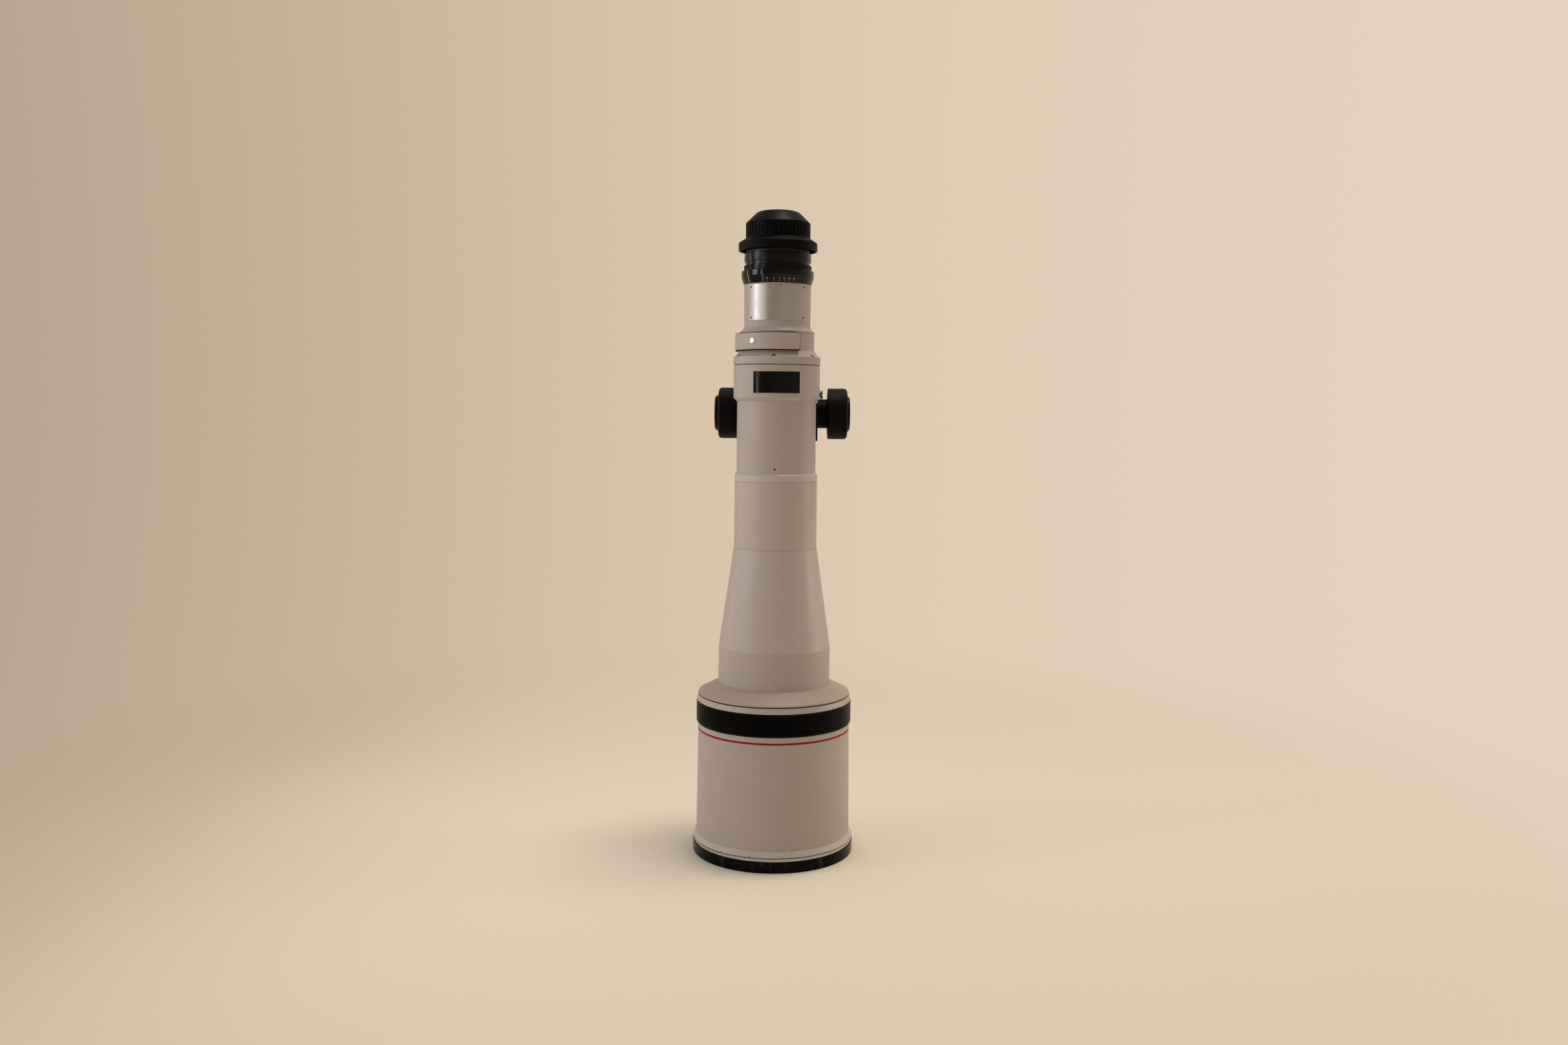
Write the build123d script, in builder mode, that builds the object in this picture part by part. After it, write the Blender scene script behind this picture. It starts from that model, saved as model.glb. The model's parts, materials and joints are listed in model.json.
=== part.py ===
from build123d import *
import math
import os

os.makedirs("parts", exist_ok=True)

# A super telephoto lens standing on its front cap, in millimetres.
# The optical axis is Z, and z = 0 is the underside of the cap. The name plate faces -Y.

# Clearances
fit_gap = 0.1          # between rings screwed or pressed together
body_gap = 0.3         # between pieces that turn or slide past each other
shaft_gap = 0.06       # running fit of a shaft or pin, on the radius
seat_gap = 0.02        # between a pressed or glued piece and its seat
over_cut = 1.0         # how far a cut runs past the face it starts from
edge_break = 0.6       # chamfer on the outside corners of rings

# Front housing: its outside sets the rings around it
housing_radius = 76.9
housing_wall = 2.9
housing_bore = housing_radius - housing_wall
housing_height = 102.65
housing_foot = 1.0     # how far the housing's foot stands out
housing_low_radius = housing_radius + housing_foot

# Front cap, rim and bead
cap_reach = 4.1        # cap's radius beyond the housing
cap_radius = housing_radius + cap_reach
cap_height = 10.8
cap_floor = 2.5
cap_wall = 2.2
rim_step = 0.7         # rim's radius inside the cap's
rim_radius = cap_radius - rim_step
rim_height = 3.6
rim_neck = 16.0        # screwed into the housing
rim_wall = 1.9
bead_bulge = 0.6
bead_radius = rim_radius + bead_bulge
bead_height = 5.6
bead_crown = 2.24      # height of the widest line above the bead's foot
bead_step = 0.2

# Red ring, rubber band and lip on the housing
red_height = 1.3
red_depth = 0.8
strip_height = 5.75
band_proud = 1.7
band_radius = housing_radius + band_proud
band_height = 22.5
band_groove = 1.6      # depth of the rubber band's seat
band_ribs = 150
band_edge = 1.2        # plain strip beside the ribs
rib_depth = 0.7
lip_proud = 1.4
lip_radius = housing_radius + lip_proud
lip_top = 0.3          # lip's top beyond the housing
lip_top_radius = housing_radius + lip_top
lip_height = 5.4
seam_height = 1.0
seam_depth = 1.0

# Objective
cell_wall = 2.3
glass_radius = housing_bore - 2 * fit_gap - cell_wall
retainer_height = 4.0
retainer_lap = 2.5
retainer_bore = glass_radius - retainer_lap
objective_z = 38.0
glass_edge = 8.0
spacer_height = 6.0
ring_bevel = 1.0       # keeps the rings' inner corners off the curved glass
rear_spacer_height = 10.0
third_edge = 6.0
cell_lip = 4.0
cell_lip_lap = 4.5
cell_lip_bore = glass_radius - cell_lip_lap
front_bulges = (9.0, 1.5)     # how far each glass stands out below and above its edge
second_bulges = (3.0, 4.0)
third_bulges = (-1.5, -1.0)

# Shoulder and tubes
shoulder_step = 0.4
shoulder_radius = lip_top_radius - shoulder_step
shoulder_rim = 1.4
shoulder_height = 10.6
shoulder_spigot = 8.0
shoulder_lip = 0.6
spigot_wall = 3.0
shoulder_width = 20.0
front_tube_radius = shoulder_radius - shoulder_width
front_tube_height = 36.6
tube_wall = 2.4
tube_flange = 3.0
tube_flange_reach = 9.0
tube_spigot = 10.0
spigot_land = 2.0
cone_height = 100.2
mid_tube_height = 68.0
joint_height = 8.5
joint_chamfer = 1.85
joint_ledge = 2.0
rear_tube_radius = 40.35
rear_tube_height = 72.4
rear_tube_wall = 2.15
tube_bore = rear_tube_radius - rear_tube_wall
sleeve_radius = tube_bore - body_gap
mid_tube_step = 1.85
mid_tube_radius = rear_tube_radius + mid_tube_step
joint_step = 0.1
joint_radius = mid_tube_radius + joint_step
index_hole_radius = 1.0
index_hole_height = 4.8
index_hole_x = -1.2

# Collar and its label plate
collar_reach = 3.75     # collar's radius beyond the rear tube
collar_radius = rear_tube_radius + collar_reach
collar_height = 36.7
collar_chamfer = 3.5
collar_wall = 2.6
collar_land = 18.8     # how far the rear tube reaches into the collar
label_angle = 63.4
label_z = 8.2          # above the collar's foot
label_height = 21.7
label_thickness = 0.5
label_depth = 0.35

# Rotation lock screw
lock_z = 7.5
lock_head_radius = 4.2
lock_head_height = 2.8
lock_shank_radius = 2.0
lock_slot = 1.0

# Turning sleeve and index ring
sleeve_wall = 2.2
sleeve_flange_height = 4.0
sleeve_flange_reach = 3.3
sleeve_reach = 4.7     # above the collar's foot
ring_seam = 0.7
holder_height = 5.0
index_step = 0.5
index_radius = collar_radius + index_step
index_rim = 7.7
index_height = 14.2
index_lip = 0.5
index_bevel = 0.4
index_bevel_height = 0.8
flare_waist = 2.4      # flare's radius beyond the sleeve, halfway up
flare_waist_height = 3.6
sleeve_step = 4.0      # index ring's foot to the drawer ring's foot
notch_count = 6
notch_turn = -94.0
notch_width = 4.0
notch_depth = 2.2
notch_inset = 3.7      # from the ring's outside to the notch's middle
notch_height = 3.3

# Filter drawer
drawer_ring_height = 17.5
drawer_wall = 14.9
drawer_bore = sleeve_radius - drawer_wall
cover_step = 0.8
cover_radius = collar_radius - cover_step
cover_crown = 0.6
cover_angle = 132.0
cover_turn = -34.0     # measured from the front towards the right
cover_gap = 0.4
tray_rim = 4.5
tray_width = 2 * (drawer_bore + tray_rim)
tray_height = 9.0
tray_wall = 3.5
filter_thickness = 3.0
filter_ledge = 1.0
drawer_z = 8.65        # tray's middle above the index ring's top
button_radius = 2.9
button_length = 4.4
button_proud = 1.0
button_round = 0.5

# Plate tube and name plate
flare_height = 8.0
flare_rim = 1.9
flare_overhang = 0.3   # flare's rim beyond the sleeve
flare_bevel = 0.8
throat_step = 1.2      # flare's radius beyond the plate tube, near its top
throat_drop = 3.2
plate_step = 4.1
plate_low_radius = sleeve_radius - plate_step
plate_flare = 0.45
plate_radius = plate_low_radius + plate_flare
plate_tube_height = 42.0
plate_tube_wall = 1.5
plate_tube_bore = plate_low_radius - plate_tube_wall
name_plate_angle = 107.2
name_plate_z = 4.4
name_plate_top = 1.3
name_plate_height = plate_tube_height - name_plate_z - name_plate_top
name_plate_thickness = 0.4
plate_screw_angle = 49.7
plate_screw_low = 3.0
plate_screw_high = 2.6
plate_screw_radius = 1.0
plate_screw_shank = 0.6
plate_screw_head = 0.3
plate_screw_length = 1.6

# Rear cell and iris
rear_cell_z = 4.0
iris_room = 16.0       # plate tube's height beyond the rear cell's
rear_cell_height = plate_tube_height - iris_room
rear_cell_wall = 10.3
rear_glass_radius = plate_tube_bore - rear_cell_wall
rear_cell_lap = 2.0
rear_cell_bore = rear_glass_radius - rear_cell_lap
rear_glass_edge = 5.0
rear_bulges = (-1.0, 2.2)
iris_plate_height = 2.0
iris_lap = 1.5
iris_bore = rear_glass_radius - iris_lap
blade_count = 6
blade_thickness = 0.4
blade_pitch = 0.5
blade_sweep = 112.0
blade_turn = 36.0
pivot_inset = 2.7
pivot_radius = plate_tube_bore - pivot_inset
blade_clear = 0.3
blade_inner = iris_bore + blade_clear
blade_inset = 2.0
blade_outer = pivot_radius - blade_inset
pivot_pin = 0.75
drive_arm = 5.0
lobe_reach = 1.5
lobe_start = -3.0
lobe_sweep = 16.0
lobe_overlap = 0.5
drive_height = 2.6
drive_sleeve_wall = 1.5
cam_gap = 0.2

# Aperture ring, lock ring and adapter
aperture_step = 0.75
aperture_low_radius = plate_radius + aperture_step
aperture_flare = 2.2
aperture_radius = aperture_low_radius + aperture_flare
aperture_height = 13.2
aperture_band = 5.7
aperture_turn = 40.0
aperture_bevel = 0.5
ring_gap = 0.3
barrel_wall = 1.9
barrel_step = 1.0      # fixed barrel's radius beyond the plate tube's bore
link_radius = 1.2
link_z = 8.0
link_reach = 1.4
base_spigot = 8.0
base_flange = 0.6
base_flange_reach = 0.5
base_neck_step = 0.3
base_neck_radius = plate_tube_bore - base_neck_step
lock_ring_wall = 2.6
lock_ring_radius = base_neck_radius + lock_ring_wall
lock_ring_height = 5.0
lock_ring_teeth = 72
lock_tooth = 0.5
adapter_neck_step = 1.0
adapter_neck = base_neck_radius + adapter_neck_step
adapter_neck_height = 2.9
adapter_step = 1.3
adapter_radius = adapter_neck + adapter_step
adapter_height = 9.3
flange_step = 1.9
flange_radius = adapter_radius - flange_step
flange_height = 2.6
throat_wall = 8.0
throat_radius = base_neck_radius - throat_wall
bayonet_wall = 1.6
bayonet_radius = throat_radius + bayonet_wall
bayonet_height = 5.0
lug_reach = 1.4
lug_radius = bayonet_radius + lug_reach
lug_height = 1.6
lug_angle = 60.0
lug_count = 3
lug_overlap = 0.5
flange_screw_inset = 2.8
flange_screw_circle = flange_radius - flange_screw_inset
flange_screw_count = 4
flange_screw_start = 45.0
flange_screw_radius = 1.6
flange_screw_shank = 0.9
flange_screw_length = 5.0

# Rear cap
hub_room = 2.0         # between the lugs and the cap's hub
rear_cap_hub = lug_radius + hub_room
grip_step = 4.1
rear_cap_grip = rear_cap_hub + grip_step
flange_reach = 7.2
rear_cap_flange = rear_cap_grip + flange_reach
rear_cap_skirt = 2.0
rear_cap_plate = 3.4
rear_cap_flange_height = 8.1
rear_cap_cone = 4.8
rear_cap_grip_height = 15.6
taper_step = 11.1
rear_cap_taper = rear_cap_grip - taper_step
rear_cap_taper_height = 11.0
rear_cap_top_step = 4.3
rear_cap_top = rear_cap_taper - rear_cap_top_step
rear_cap_dome = 1.5
dome_reach = 2.4       # dome's middle point beyond its top face
dome_drop = 0.4
rear_cap_wall = 2.6
hub_step = 0.6
rear_cap_edge = 0.8
grip_flutes = 46
flute_width = 1.3
flute_depth = 0.6
flute_height = 13.4

# Focus drive
shaft_offset = 4.65    # shaft's axis behind the rear tube
shaft_y = rear_tube_radius + shaft_offset
shaft_z = 11.9         # below the collar's foot
shaft_radius = 4.0
gear_module = 0.8
pinion_teeth = 16
gear_width = 8.0
tooth_share = 0.4      # tooth thickness as a share of the pitch, with room to run
rack_below = 2
rack_teeth = 8
rack_base = 1.1
pressure_angle = 20.0
root_depth = 1.25      # of a tooth, in modules
root_sink = 1.35       # where a tooth is joined to its body, in modules
focus_turn = 98.0
knob_radius = 26.8
knob_round = 4.0
knob_edge = 1.2
knob_dish = 5.0
knob_hub = 12.0
dish_taper = 1.0
knob_room = 0.6        # between the saddle's end and the left knob
left_knob_length = 19.7
tension_length = 11.2  # from the saddle's end to the right knob
right_knob_length = 20.6
disc_inset = 8.1
disc_radius = knob_radius - disc_inset
left_disc = 3.8
right_disc = 2.7
disc_bevel = 1.6
saddle_left_reach = 0.65
saddle_left = -rear_tube_radius - saddle_left_reach
saddle_right_reach = 2.15
saddle_right = rear_tube_radius + saddle_right_reach
left_knob_x = saddle_left - knob_room
right_knob_x = saddle_right + tension_length
saddle_height = 40.0
saddle_top = 0.4       # below the collar's foot
saddle_depth = 36.0
saddle_cover = 3.0     # saddle's back behind the shaft's axis
saddle_back = shaft_y + saddle_cover
saddle_front = saddle_back - saddle_depth
saddle_boss = 11.4
saddle_round = 3.0
saddle_neck = 9.0
saddle_neck_length = 5.5
bush_radius = 6.5
bush_length = 9.5
shaft_room = 0.5       # around the shaft, between the bushes
pinion_room = 0.7
tension_radius = 15.35
tension_ridges = 24
ridge_depth = 0.7
ridge_width = 1.6
ridge_edge = 1.5       # plain strip beside the ridges
tension_bevel = 0.8
screw_shank = 1.8
screw_head = 3.2
screw_head_height = 2.4
saddle_screw_insets = (7.35, 17.85)     # in from the rear tube's side
saddle_screw_z = 6.0

# Focusing cell
focus_cell_height = 38.0
focus_cell_top = 3.5   # above the collar's foot
focus_land = 6.0
focus_waist = 1.4
focus_wall = 7.8
focus_glass_radius = sleeve_radius - fit_gap - focus_wall
focus_glass_edge = 12.0
focus_lip = 10.0
focus_lip_lap = 2.5
focus_lip_bore = focus_glass_radius - focus_lip_lap
focus_bulges = (2.5, -2.0)

# Tripod foot
pedestal_width = 36.0
pedestal_height = 32.0
pedestal_depth = 24.0
pedestal_drop = 2.0    # pedestal's top below the saddle's top
foot_width = 42.0
foot_length = 78.0
foot_thickness = 12.0
foot_round = 5.0
foot_drop = 6.0        # foot's middle below the pedestal's middle
foot_bush_radius = 8.0
large_thread = 4.7625
small_thread = 3.175
small_socket_z = 22.0
foot_screw_x = 13.0
foot_screw_z = 11.0
foot_screw_shank = 2.4
foot_screw_head = 4.0
foot_screw_depth = 4.0
foot_screw_reach = 9.0
foot_screw_sink = 0.5

# Light baffles: how far above the front tube's foot flange, and how far in they reach
baffle_thickness = 1.0
baffle_places = ((28.0, 3.8), (68.0, 3.8), (108.0, 4.9), (150.0, 5.7), (190.0, 7.7))

# Heights along the axis
rim_z = cap_height
bead_z = rim_z + rim_height
housing_z = bead_z + bead_height
red_z = housing_z + housing_height
strip_z = red_z + red_height
band_z = strip_z + strip_height
lip_z = band_z + band_height
housing_top = lip_z + lip_height
shoulder_z = housing_top + seam_height
shoulder_top = shoulder_z + shoulder_height
cone_z = shoulder_top + front_tube_height
mid_z = cone_z + cone_height
joint_z = mid_z + mid_tube_height
rear_tube_z = joint_z + joint_height
collar_z = rear_tube_z + rear_tube_height
collar_top = collar_z + collar_height
index_z = collar_top + ring_seam
index_top = index_z + index_height
drawer_ring_z = index_z + sleeve_step
drawer_ring_top = index_top + drawer_ring_height
plate_z = drawer_ring_top + flare_height
plate_top = plate_z + plate_tube_height
aperture_z = plate_top + ring_gap
aperture_top = aperture_z + aperture_height
base_flange_z = aperture_top + ring_gap
lock_ring_z = base_flange_z + base_flange
adapter_z = lock_ring_z + lock_ring_height + ring_gap
adapter_ring_z = adapter_z + adapter_neck_height
flange_z = adapter_ring_z + adapter_height
mount_face = flange_z + flange_height
knob_axis_z = collar_z - shaft_z
saddle_z = collar_z - saddle_top - saddle_height
grip_z = mount_face + rear_cap_flange_height + rear_cap_cone
taper_z = grip_z + rear_cap_grip_height
rear_cap_z = taper_z + rear_cap_taper_height + rear_cap_dome

# Bores that several pieces share
collar_bore = collar_radius - collar_wall
pitch_radius = gear_module * pinion_teeth / 2
tooth_pitch = math.pi * gear_module
rack_line = shaft_y - pitch_radius
focus_travel = pitch_radius * math.radians(focus_turn)

shaft_axis = Axis((0, shaft_y, knob_axis_z), (1, 0, 0))
shaft_plane = Plane(origin=(0, shaft_y, knob_axis_z), x_dir=(1, 0, 0), z_dir=(0, -1, 0))


def turned(*corners):
    """Lathe work about the optical axis, from corners given as radius and height."""
    with BuildSketch(Plane.XZ) as section:
        with BuildLine():
            Polyline(*corners, close=True)
        make_face()
    revolve(section.sketch, axis=Axis.Z)


def turned_on_shaft(*corners, mode=Mode.ADD):
    """Lathe work about the focus shaft, from corners given as x and radius."""
    with BuildSketch(shaft_plane) as section:
        with BuildLine():
            Polyline(*corners, close=True)
        make_face()
    revolve(section.sketch, axis=shaft_axis, mode=mode)


def glass(radius, low, high, low_bulge, high_bulge):
    """A lens with its edge from low to high, whose faces bulge out by the given sags."""
    with BuildSketch(Plane.XZ) as section:
        with BuildLine():
            TangentArc((0, low - low_bulge), (radius, low), tangent=(1, 0))
            Line((radius, low), (radius, high))
            TangentArc((0, high + high_bulge), (radius, high), tangent=(1, 0))
            Line((0, high + high_bulge), (0, low - low_bulge))
        make_face()
    revolve(section.sketch, axis=Axis.Z)


def sector(inner, outer, start, sweep):
    """A piece of flat ring, as a sketch about the origin."""
    with BuildSketch() as piece:
        with BuildLine():
            far = CenterArc((0, 0), outer, start, sweep)
            near = CenterArc((0, 0), inner, start, sweep)
            Line(far @ 0, near @ 0)
            Line(far @ 1, near @ 1)
        make_face()
    return piece.sketch


def from_front(angle):
    """The polar angle of a place seen so many degrees to the right of the front."""
    return angle - 90


def outward(bearing, height):
    """A plane on the optical axis that faces outward at a polar angle."""
    way = (math.cos(math.radians(bearing)), math.sin(math.radians(bearing)), 0)
    return Plane(origin=(0, 0, height), x_dir=(0, 0, 1), z_dir=way)


def rods(plane, radius, length, spots=((0, 0),), mode=Mode.ADD):
    """Round stock or, as a cut, holes: one from each spot on the plane."""
    with BuildSketch(plane) as ends:
        with Locations(*spots):
            Circle(radius)
    extrude(ends.sketch, amount=length, mode=mode)


# Front cap: a shallow pan over the rim
with BuildPart() as front_cap:
    turned(
        (0, 0), (cap_radius - edge_break, 0), (cap_radius, edge_break), (cap_radius, cap_height - body_gap),
        (cap_radius - cap_wall, cap_height - body_gap), (cap_radius - cap_wall, cap_floor), (0, cap_floor),
    )

# Front rim: bare metal, with a spigot inside the cap and a neck screwed into the housing
spigot_radius = cap_radius - cap_wall - body_gap
rim_bore = housing_bore - fit_gap - rim_wall
with BuildPart() as front_rim:
    turned(
        (rim_bore, cap_floor), (spigot_radius, cap_floor), (spigot_radius, rim_z), (rim_radius, rim_z),
        (rim_radius, bead_z), (housing_bore - fit_gap, bead_z), (housing_bore - fit_gap, bead_z + rim_neck),
        (rim_bore, bead_z + rim_neck),
    )

# Bead: the widest ring, with a rounded outside
with BuildPart() as bead_ring:
    with BuildSketch(Plane.XZ) as bead_section:
        with BuildLine():
            Line((housing_bore, bead_z), (rim_radius, bead_z))
            ThreePointArc(
                (rim_radius, bead_z), (bead_radius, bead_z + bead_crown), (housing_low_radius, housing_z),
            )
            Line((housing_low_radius, housing_z), (housing_bore, housing_z))
            Line((housing_bore, housing_z), (housing_bore, bead_z))
        make_face()
    revolve(axis=Axis.Z)

# Front housing: one casting with seats for the red ring and the rubber band
band_seat = housing_radius - band_groove
with BuildPart() as front_housing:
    turned(
        (housing_bore, housing_z), (housing_low_radius - bead_step, housing_z), (housing_radius, red_z),
        (housing_radius - red_depth, red_z), (housing_radius - red_depth, strip_z), (housing_radius, strip_z),
        (housing_radius, band_z), (band_seat, band_z), (band_seat, lip_z), (lip_radius, lip_z),
        (lip_top_radius, housing_top), (housing_bore, housing_top),
    )

with BuildPart() as red_ring:
    turned(
        (housing_radius - red_depth, red_z), (housing_radius, red_z),
        (housing_radius, strip_z), (housing_radius - red_depth, strip_z),
    )

# Rubber band, ribbed along the axis between two plain edges
with BuildPart() as grip_band:
    with BuildSketch(Plane.XY.offset(band_z)) as band_foot:
        Circle(band_radius - rib_depth)
        Circle(band_seat, mode=Mode.SUBTRACT)
    extrude(amount=band_height)
    with BuildSketch(Plane.XY.offset(band_z + band_edge)) as band_rib:
        with PolarLocations(band_radius - rib_depth, band_ribs):
            Rectangle(2 * rib_depth, math.pi * band_radius / band_ribs)
    extrude(amount=band_height - 2 * band_edge)

# Objective: three glasses in one cell, held from the front
pocket_radius = glass_radius + fit_gap
first_edge_z = objective_z + retainer_height
second_edge_z = first_edge_z + glass_edge + spacer_height
third_edge_z = second_edge_z + glass_edge + rear_spacer_height
cell_lip_z = third_edge_z + third_edge
cell_radius = housing_bore - fit_gap

with BuildPart() as objective_cell:
    turned(
        (pocket_radius, objective_z), (cell_radius, objective_z), (cell_radius, cell_lip_z + cell_lip),
        (cell_lip_bore, cell_lip_z + cell_lip), (cell_lip_bore, cell_lip_z), (pocket_radius, cell_lip_z),
    )

with BuildPart() as front_element:
    glass(glass_radius, first_edge_z, first_edge_z + glass_edge, *front_bulges)

with BuildPart() as second_element:
    glass(glass_radius, second_edge_z, second_edge_z + glass_edge, *second_bulges)

with BuildPart() as third_element:
    glass(glass_radius, third_edge_z, cell_lip_z, *third_bulges)

# The retaining ring and the two spacers between the glasses
with BuildPart() as objective_rings:
    for foot, head in (
        (objective_z, first_edge_z),
        (first_edge_z + glass_edge, second_edge_z),
        (second_edge_z + glass_edge, third_edge_z),
    ):
        turned(
            (retainer_bore, foot + ring_bevel), (glass_radius, foot),
            (glass_radius, head), (retainer_bore, head - ring_bevel),
        )

# Shoulder: a shallow cone that closes the housing and carries the tubes
shoulder_bore = front_tube_radius + fit_gap
shoulder_foot = housing_top - tube_flange
with BuildPart() as shoulder_ring:
    turned(
        (shoulder_bore, shoulder_foot + tube_flange),
        (cell_radius - spigot_wall, shoulder_foot + tube_flange),
        (cell_radius - spigot_wall, housing_top - shoulder_spigot),
        (cell_radius, housing_top - shoulder_spigot),
        (cell_radius, housing_top), (shoulder_radius - seam_depth, housing_top),
        (shoulder_radius - seam_depth, shoulder_z), (shoulder_radius, shoulder_z),
        (shoulder_radius, shoulder_z + shoulder_rim), (front_tube_radius + shoulder_lip, shoulder_top),
        (shoulder_bore, shoulder_top),
    )

# Front tube, with a foot flange behind the shoulder
front_tube_bore = front_tube_radius - tube_wall
front_tube_z = shoulder_foot
with BuildPart() as front_tube:
    turned(
        (front_tube_bore, front_tube_z), (front_tube_radius + tube_flange_reach, front_tube_z),
        (front_tube_radius + tube_flange_reach, housing_top), (front_tube_radius, housing_top),
        (front_tube_radius, cone_z), (front_tube_bore, cone_z),
    )

# Cone tube: spigot, cone and long neck in one turning
mid_tube_bore = mid_tube_radius - tube_wall
spigot_bore = front_tube_bore - fit_gap - tube_wall
with BuildPart() as cone_tube:
    turned(
        (front_tube_bore - fit_gap, cone_z - tube_spigot), (front_tube_bore - fit_gap, cone_z),
        (front_tube_radius, cone_z), (mid_tube_radius, mid_z), (mid_tube_radius, joint_z),
        (mid_tube_bore, joint_z), (mid_tube_bore, mid_z),
        (spigot_bore, cone_z + spigot_land), (spigot_bore, cone_z - tube_spigot),
    )

# Joint ring between the neck and the rear tube
joint_spigot = mid_tube_bore - fit_gap
with BuildPart() as joint_ring:
    turned(
        (tube_bore, joint_z - joint_height), (joint_spigot, joint_z - joint_height), (joint_spigot, joint_z),
        (joint_radius, joint_z), (joint_radius, rear_tube_z - joint_chamfer),
        (rear_tube_radius + fit_gap, rear_tube_z), (rear_tube_radius + fit_gap, joint_z + joint_ledge),
        (tube_bore, joint_z + joint_ledge),
    )

# Rear tube, with the window that the rack and pinion meet in
rack_foot = knob_axis_z - rack_below * tooth_pitch
rack_head = rack_foot + rack_teeth * tooth_pitch
window_foot = rack_foot - focus_travel - body_gap
window_height = rack_head + body_gap - window_foot
lock_spot = (0, collar_z + lock_z)
saddle_screw_spots = [
    (side * (rear_tube_radius - inset), saddle_z + saddle_screw_z)
    for inset in saddle_screw_insets for side in (-1, 1)
]
with BuildPart() as rear_tube:
    turned(
        (tube_bore, joint_z + joint_ledge), (rear_tube_radius, joint_z + joint_ledge),
        (rear_tube_radius, collar_z + collar_land), (tube_bore, collar_z + collar_land),
    )
    with Locations((0, rear_tube_radius, window_foot + window_height / 2)):
        Box(gear_width + 2 * body_gap, rear_tube_radius, window_height, mode=Mode.SUBTRACT)
    index_spot = (index_hole_x, rear_tube_z + index_hole_height)
    rods(Plane.XZ, index_hole_radius, rear_tube_radius, [index_spot], Mode.SUBTRACT)
    rods(Plane.XZ, screw_shank + fit_gap, -rear_tube_radius, saddle_screw_spots, Mode.SUBTRACT)
    rods(Plane.YZ, lock_shank_radius + shaft_gap, rear_tube_radius, [lock_spot], Mode.SUBTRACT)

# Collar, with the shallow seat of the label plate
label_foot = collar_z + label_z
with BuildPart() as collar:
    turned(
        (rear_tube_radius + fit_gap, collar_z), (collar_radius - collar_chamfer, collar_z),
        (collar_radius, collar_z + collar_chamfer), (collar_radius, collar_top), (collar_bore, collar_top),
        (collar_bore, collar_z + collar_land), (rear_tube_radius + fit_gap, collar_z + collar_land),
    )
    label_seat = sector(
        collar_radius - label_depth, collar_radius + over_cut, from_front(-label_angle / 2), label_angle,
    )
    extrude(Plane.XY.offset(label_foot) * label_seat, amount=label_height, mode=Mode.SUBTRACT)
    rods(Plane.YZ, lock_shank_radius + shaft_gap, collar_radius, [lock_spot], Mode.SUBTRACT)

with BuildPart() as label_plate:
    label_face = sector(
        collar_radius - label_depth, collar_radius - label_depth + label_thickness,
        from_front(-label_angle / 2), label_angle,
    )
    extrude(Plane.XY.offset(label_foot) * label_face, amount=label_height)

# Rotation lock screw on the collar's right side
with BuildPart() as lock_screw:
    shank_plane = Plane.YZ.offset(sleeve_radius + body_gap)
    rods(shank_plane, lock_shank_radius, collar_radius - sleeve_radius, [lock_spot])
    rods(Plane.YZ.offset(collar_radius + body_gap), lock_head_radius, lock_head_height, [lock_spot])
    with BuildSketch(Plane.YZ.offset(collar_radius + body_gap + lock_head_height)):
        with Locations(lock_spot):
            Rectangle(2 * lock_head_radius, lock_slot)
    extrude(amount=-lock_slot, mode=Mode.SUBTRACT)

# Turning sleeve: its flange runs between the rear tube's end and a screwed ring
sleeve_bore = sleeve_radius - sleeve_wall
sleeve_flange_z = collar_z + collar_land + body_gap
sleeve_flange_radius = sleeve_radius + sleeve_flange_reach
with BuildPart() as turning_sleeve:
    turned(
        (sleeve_bore, collar_z + sleeve_reach), (sleeve_radius, collar_z + sleeve_reach),
        (sleeve_radius, sleeve_flange_z), (sleeve_flange_radius, sleeve_flange_z),
        (sleeve_flange_radius, sleeve_flange_z + sleeve_flange_height),
        (sleeve_radius, sleeve_flange_z + sleeve_flange_height), (sleeve_radius, drawer_ring_z),
        (sleeve_bore, drawer_ring_z),
    )

holder_z = sleeve_flange_z + sleeve_flange_height + body_gap
with BuildPart() as sleeve_holder:
    turned(
        (sleeve_radius + body_gap, holder_z), (collar_bore - fit_gap, holder_z),
        (collar_bore - fit_gap, holder_z + holder_height),
        (sleeve_radius + body_gap, holder_z + holder_height),
    )

# Index ring with a concave flare and notches for a hook spanner
with BuildPart() as index_ring:
    with BuildSketch(Plane.XZ):
        with BuildLine():
            Polyline(
                (sleeve_radius + fit_gap, index_z), (index_radius - index_bevel, index_z),
                (index_radius, index_z + index_bevel_height), (index_radius, index_z + index_rim),
            )
            ThreePointArc(
                (index_radius, index_z + index_rim),
                (sleeve_radius + flare_waist, index_z + index_rim + flare_waist_height),
                (sleeve_radius + index_lip, index_top),
            )
            Polyline(
                (sleeve_radius + index_lip, index_top), (sleeve_radius + fit_gap, index_top),
                (sleeve_radius + fit_gap, index_z),
            )
        make_face()
    revolve(axis=Axis.Z)
    with PolarLocations(index_radius, notch_count, start_angle=notch_turn):
        with Locations((-notch_inset, 0, index_z + index_rim + notch_height / 2)):
            Box(2 * notch_depth, notch_width, notch_height, mode=Mode.SUBTRACT)

# Filter drawer: the tray slides in a pocket of the drawer ring, along its own direction
drawer_angle = from_front(cover_turn)
drawer_mid = index_top + drawer_z
drawer_plane = Plane.XY.offset(drawer_mid - tray_height / 2).rotated((0, 0, drawer_angle))
pocket_plane = Plane.XY.offset(drawer_mid - tray_height / 2 - body_gap).rotated((0, 0, drawer_angle))

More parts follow.
